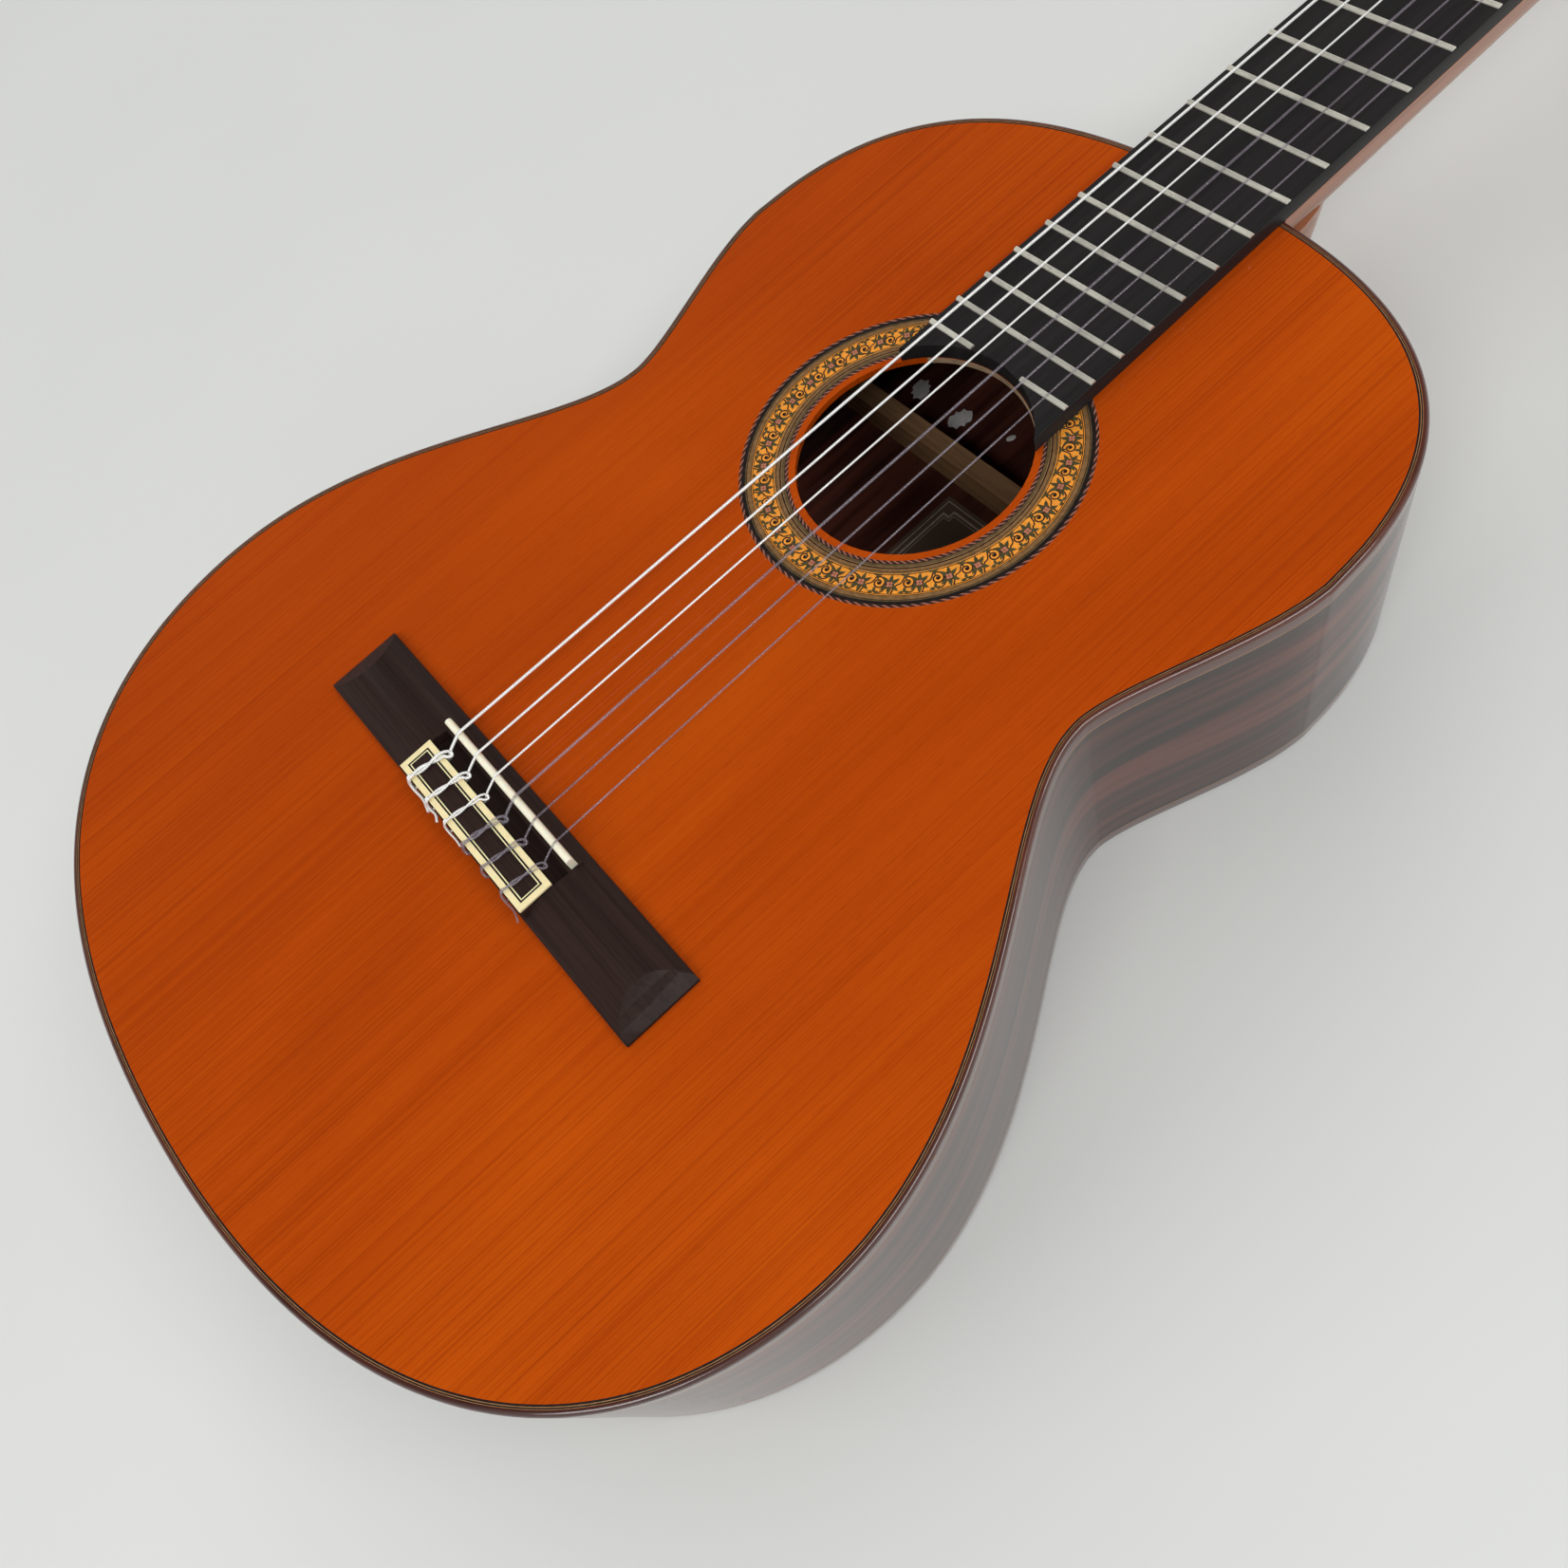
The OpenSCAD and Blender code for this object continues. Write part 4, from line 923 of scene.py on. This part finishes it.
def grip_mesh(foot, half_w, half_t, rows=24, columns=40):
    """A pillow shape standing on foot, with one point at each pole."""
    middle = foot + HEAD_UP * GRIP_HALF_H
    verts = []
    for i in range(1, rows):
        up = -math.pi / 2 + math.pi * i / rows
        height = signed_power(math.sin(up), 2 / UP_POWER)
        girth = signed_power(math.cos(up), 2 / FACE_POWER)
        for j in range(columns):
            turn = 2 * math.pi * j / columns
            across = girth * signed_power(math.cos(turn), 2 / ROUND_POWER)
            deep = girth * signed_power(math.sin(turn), 2 / ROUND_POWER)
            taper = 1 - TAPER * max(0.0, height)
            dish = 1 - HOLLOW * math.exp(-((across / 0.55) ** 2 + (height / 0.6) ** 2))
            verts.append(middle + ACROSS * deep * half_t * dish + HEAD_ALONG * across * half_w * taper
                         + HEAD_UP * height * GRIP_HALF_H)
    low_pole, high_pole = len(verts), len(verts) + 1
    verts += [foot, foot + HEAD_UP * 2 * GRIP_HALF_H]
    faces = ring_quads(rows - 1, columns)
    last = low_pole - columns
    for j in range(columns):
        k = (j + 1) % columns
        faces += [[low_pole, k, j], [high_pole, last + j, last + k]]
    return verts, faces


def make_button(k):
    """A pearly grip with a brass collar, in the place and size of the CAD's plain oval."""
    lo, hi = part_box(f"button_{k}")
    joint = JOINTS[f"button_{k}_turn"]
    origin = Vector(joint["pos_m"])
    points = [v.co - origin for v in NODES[f"button_{k}"].data.vertices]
    foot = origin + HEAD_UP * min(p.dot(HEAD_UP) for p in points)
    half_w = max(p.dot(HEAD_ALONG) for p in points)
    verts, faces = grip_mesh(foot, half_w, (hi[0] - lo[0]) / 2)
    grip = new_piece(f"button_{k}_grip", verts, faces, PEARL, joint["child"])
    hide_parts(f"button_{k}")
    collar = lathe(f"button_{k}_collar", foot + HEAD_UP * COLLAR_H, COLLAR, BRASS, joint["child"])


# ---------------------------------------------------------------- inside the body
def make_label_border():
    """A plain frame and two with stepped corners on the blank label."""
    lo, hi = label_box
    # Inset, size of the step at the corners and width, in millimetres
    lines = ((1.8, 0.0, 0.5), (4.2, 3.2, 0.9), (6.0, 3.0, 0.35))

    def outline(inset, step):
        x0, x1, y0, y1 = lo[0] + inset, hi[0] - inset, lo[1] + inset, hi[1] - inset
        corners = []
        for x, y, sx, sy in ((x0, y0, 1, 1), (x1, y0, -1, 1), (x1, y1, -1, -1), (x0, y1, 1, -1)):
            stepped = [(x, y + sy * step), (x + sx * step, y + sy * step), (x + sx * step, y)]
            corner = stepped if step else [(x, y)]
            corners += corner if sx == sy else corner[::-1]
        return corners

    for number, (inset, step, width) in enumerate(lines, 1):
        outer, inner = outline(inset * MM, step * MM), outline((inset + width) * MM, step * MM)
        n = len(outer)
        verts = [(x, y, hi[2] + LIFT) for x, y in outer + inner]
        faces = [[i, (i + 1) % n, n + (i + 1) % n, n + i] for i in range(n)]
        verts, faces = thicken(verts, faces, INLAY_T)
        new_piece(f"label_frame_{number}", verts, faces, INK, smooth=False)


def flake(name, centre, across, along, up, size, material):
    """A thin ragged flake lying on a face; across and along span the face and up points out of it."""
    wide, long, high = size
    rings, steps = ((1.0, 0.0), (0.75, 0.35), (0.35, 0.5)), 18
    verts = []
    for share, lift in rings:
        for i in range(steps):
            a = 2 * math.pi * i / steps
            reach = MM * share * (1 + 0.30 * math.sin(3 * a + 10 * wide) * math.cos(5 * a) * share)
            verts.append(centre + across * wide * reach * math.cos(a) + along * long * reach * math.sin(a)
                         + up * lift * high * MM)
    faces = ring_quads(len(rings), steps) + end_caps(len(rings), steps)
    new_piece(name, verts, faces, material)


def make_glue_marks():
    """Dried glue on the inside of the back, placed from the soundhole's middle."""
    back_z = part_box("back")[1][2]
    glue = ((-91, 69, 4.4, 5.0), (-65, 68, 4.8, 5.2), (-40, 74, 1.6, 2.0))
    for number, (x, beyond, wide, long) in enumerate(glue, 1):
        place = Vector((x * MM, HOLE_Y + beyond * MM, back_z))
        flake(f"glue_mark_{number}", place, X_AXIS, Y_AXIS, Z_AXIS, (wide, long, 0.5), GLUE)


def make_binding_chips():
    """Two small chips in the treble binding, a few outline points past the widest place."""
    widest = max(range(len(LOOP)), key=lambda i: LOOP[i].x)
    height = Z_AXIS * (TOP_Z - EDGE_ROUND * 1.1)
    for number, (shift, wide) in enumerate(((15.0, 1.1), (17.5, 0.6)), 1):
        point, normal = loop_at(widest + shift)
        along = Vector((-normal.y, normal.x, 0))
        flake(f"binding_chip_{number}", point + height - normal * SKIN_SET / 2, along, Z_AXIS, normal,
              (wide, 0.5, 0.04), CUT_WOOD)


# ---------------------------------------------------------------- build
make_sides()
make_bindings()
make_purfling()
make_side_lines()
make_mosaic()
make_rosette_lines()
make_hole_rim()
make_tie_block_lines()
for k in STRING_RADII:
    make_string(k)
    make_button(k)
make_label_border()
make_glue_marks()
make_binding_chips()

dress("soundboard", CEDAR)
dress("back", BACK_WOOD)
dress("back_centre_strip", BINDING_WOOD)
for node in ("linings", "tail_block", "fan_braces", "harmonic_bars", "back_bars"):
    dress(node, SPRUCE)
dress("label", PAPER)
dress("neck", NECK_WOOD, angle=40)
dress("heel_cap", HEAD_WOOD, bevel=0.3 * MM)
dress("headstock", NECK_WOOD, bevel=0.4 * MM)
dress("head_veneer", HEAD_WOOD, bevel=0.4 * MM)
dress("fingerboard", EBONY, bevel=0.35 * MM)
dress("frets", FRET_METAL, bevel=0.2 * MM)
dress("nut", BONE, bevel=0.2 * MM)
dress("saddle", BONE, bevel=0.2 * MM)
dress("bridge", BRIDGE_WOOD, bevel=0.2 * MM)
dress("tie_block_inlay", CREAM, bevel=0.12 * MM)
for node in ("tuner_plate_bass", "tuner_plate_treble", "plate_screws"):
    dress(node, BRASS, bevel=0.15 * MM)
for k in STRING_RADII:
    dress(f"roller_{k}", ROLLER)
    dress(f"gear_{k}", BRASS, bevel=0.08 * MM)
    dress(f"worm_{k}", STEEL, angle=40)


# ---------------------------------------------------------------- floor and light
FLOOR_HALF = 14.0
FLOOR_GAP = 0.2 * MM
FLOOR = tinted("floor", (0.675, 0.682, 0.664), 0.8, 0.012, 3).material


def make_floor():
    """A wide plain floor just under the back."""
    mesh = bpy.data.meshes.new("floor")
    corners = [(FLOOR_HALF * x, FLOOR_HALF * y, 0) for x, y in ((-1, -1), (1, -1), (1, 1), (-1, 1))]
    mesh.from_pydata(corners, [], [[0, 1, 2, 3]])
    mesh.materials.append(FLOOR)
    floor = bpy.data.objects.new("floor", mesh)
    floor.location.z = -FLOOR_GAP
    bpy.context.scene.collection.objects.link(floor)


def add_light(name, data, place, aim, glossy=True):
    light = bpy.data.objects.new(name, data)
    light.location = place
    light.rotation_euler = (Vector(aim) - Vector(place)).to_track_quat("-Z", "Y").to_euler()
    light.visible_glossy = glossy
    bpy.context.scene.collection.objects.link(light)


def softbox(name, place, aim, size, power, glossy=True):
    data = bpy.data.lights.new(name, "AREA")
    data.shape = "RECTANGLE"
    data.size, data.size_y = size
    data.energy = power
    add_light(name, data, place, aim, glossy)


def make_world():
    """Pale near the horizon and dark overhead, so that the lacquer keeps its colour."""
    world = bpy.data.worlds.new("room")
    world.use_nodes = True
    tree = world.node_tree
    direction = tree.nodes.new("ShaderNodeTexCoord").outputs["Generated"]
    parts = tree.nodes.new("ShaderNodeSeparateXYZ")
    ramp = tree.nodes.new("ShaderNodeValToRGB")
    ramp.color_ramp.elements[0].position = 0.28
    ramp.color_ramp.elements[0].color = (0.60, 0.615, 0.60, 1)
    ramp.color_ramp.elements[1].position = 0.60
    ramp.color_ramp.elements[1].color = (0.035, 0.036, 0.037, 1)
    tree.links.new(direction, parts.inputs[0])
    tree.links.new(parts.outputs[2], ramp.inputs["Fac"])
    tree.links.new(ramp.outputs["Color"], tree.nodes["Background"].inputs["Color"])
    bpy.context.scene.world = world


make_floor()
make_world()
daylight = bpy.data.lights.new("daylight", "SUN")
daylight.energy = 1.05
daylight.angle = math.radians(75)
daylight.color = (1.0, 0.995, 0.98)
add_light("daylight", daylight, (-0.9, 0.25, 2.0), (0, 0, 0), glossy=False)
softbox("tail_softbox", (-0.9, -2.4, 1.75), (0, -0.05, 0.05), (1.8, 0.6), 18, glossy=False)
softbox("corner_softbox", (1.05, -1.75, 2.2), (0, 0.05, 0.05), (1.1, 0.8), 20)
softbox("window", (-2.9, 0.5, 1.25), (0, 0.1, 0.05), (2.2, 1.1), 15, glossy=False)
softbox("overhead", (1.6, 0.6, 2.2), (0.1, 0.05, 0.0), (2.6, 0.8), 36)
bpy.context.scene.view_settings.view_transform = "Standard"
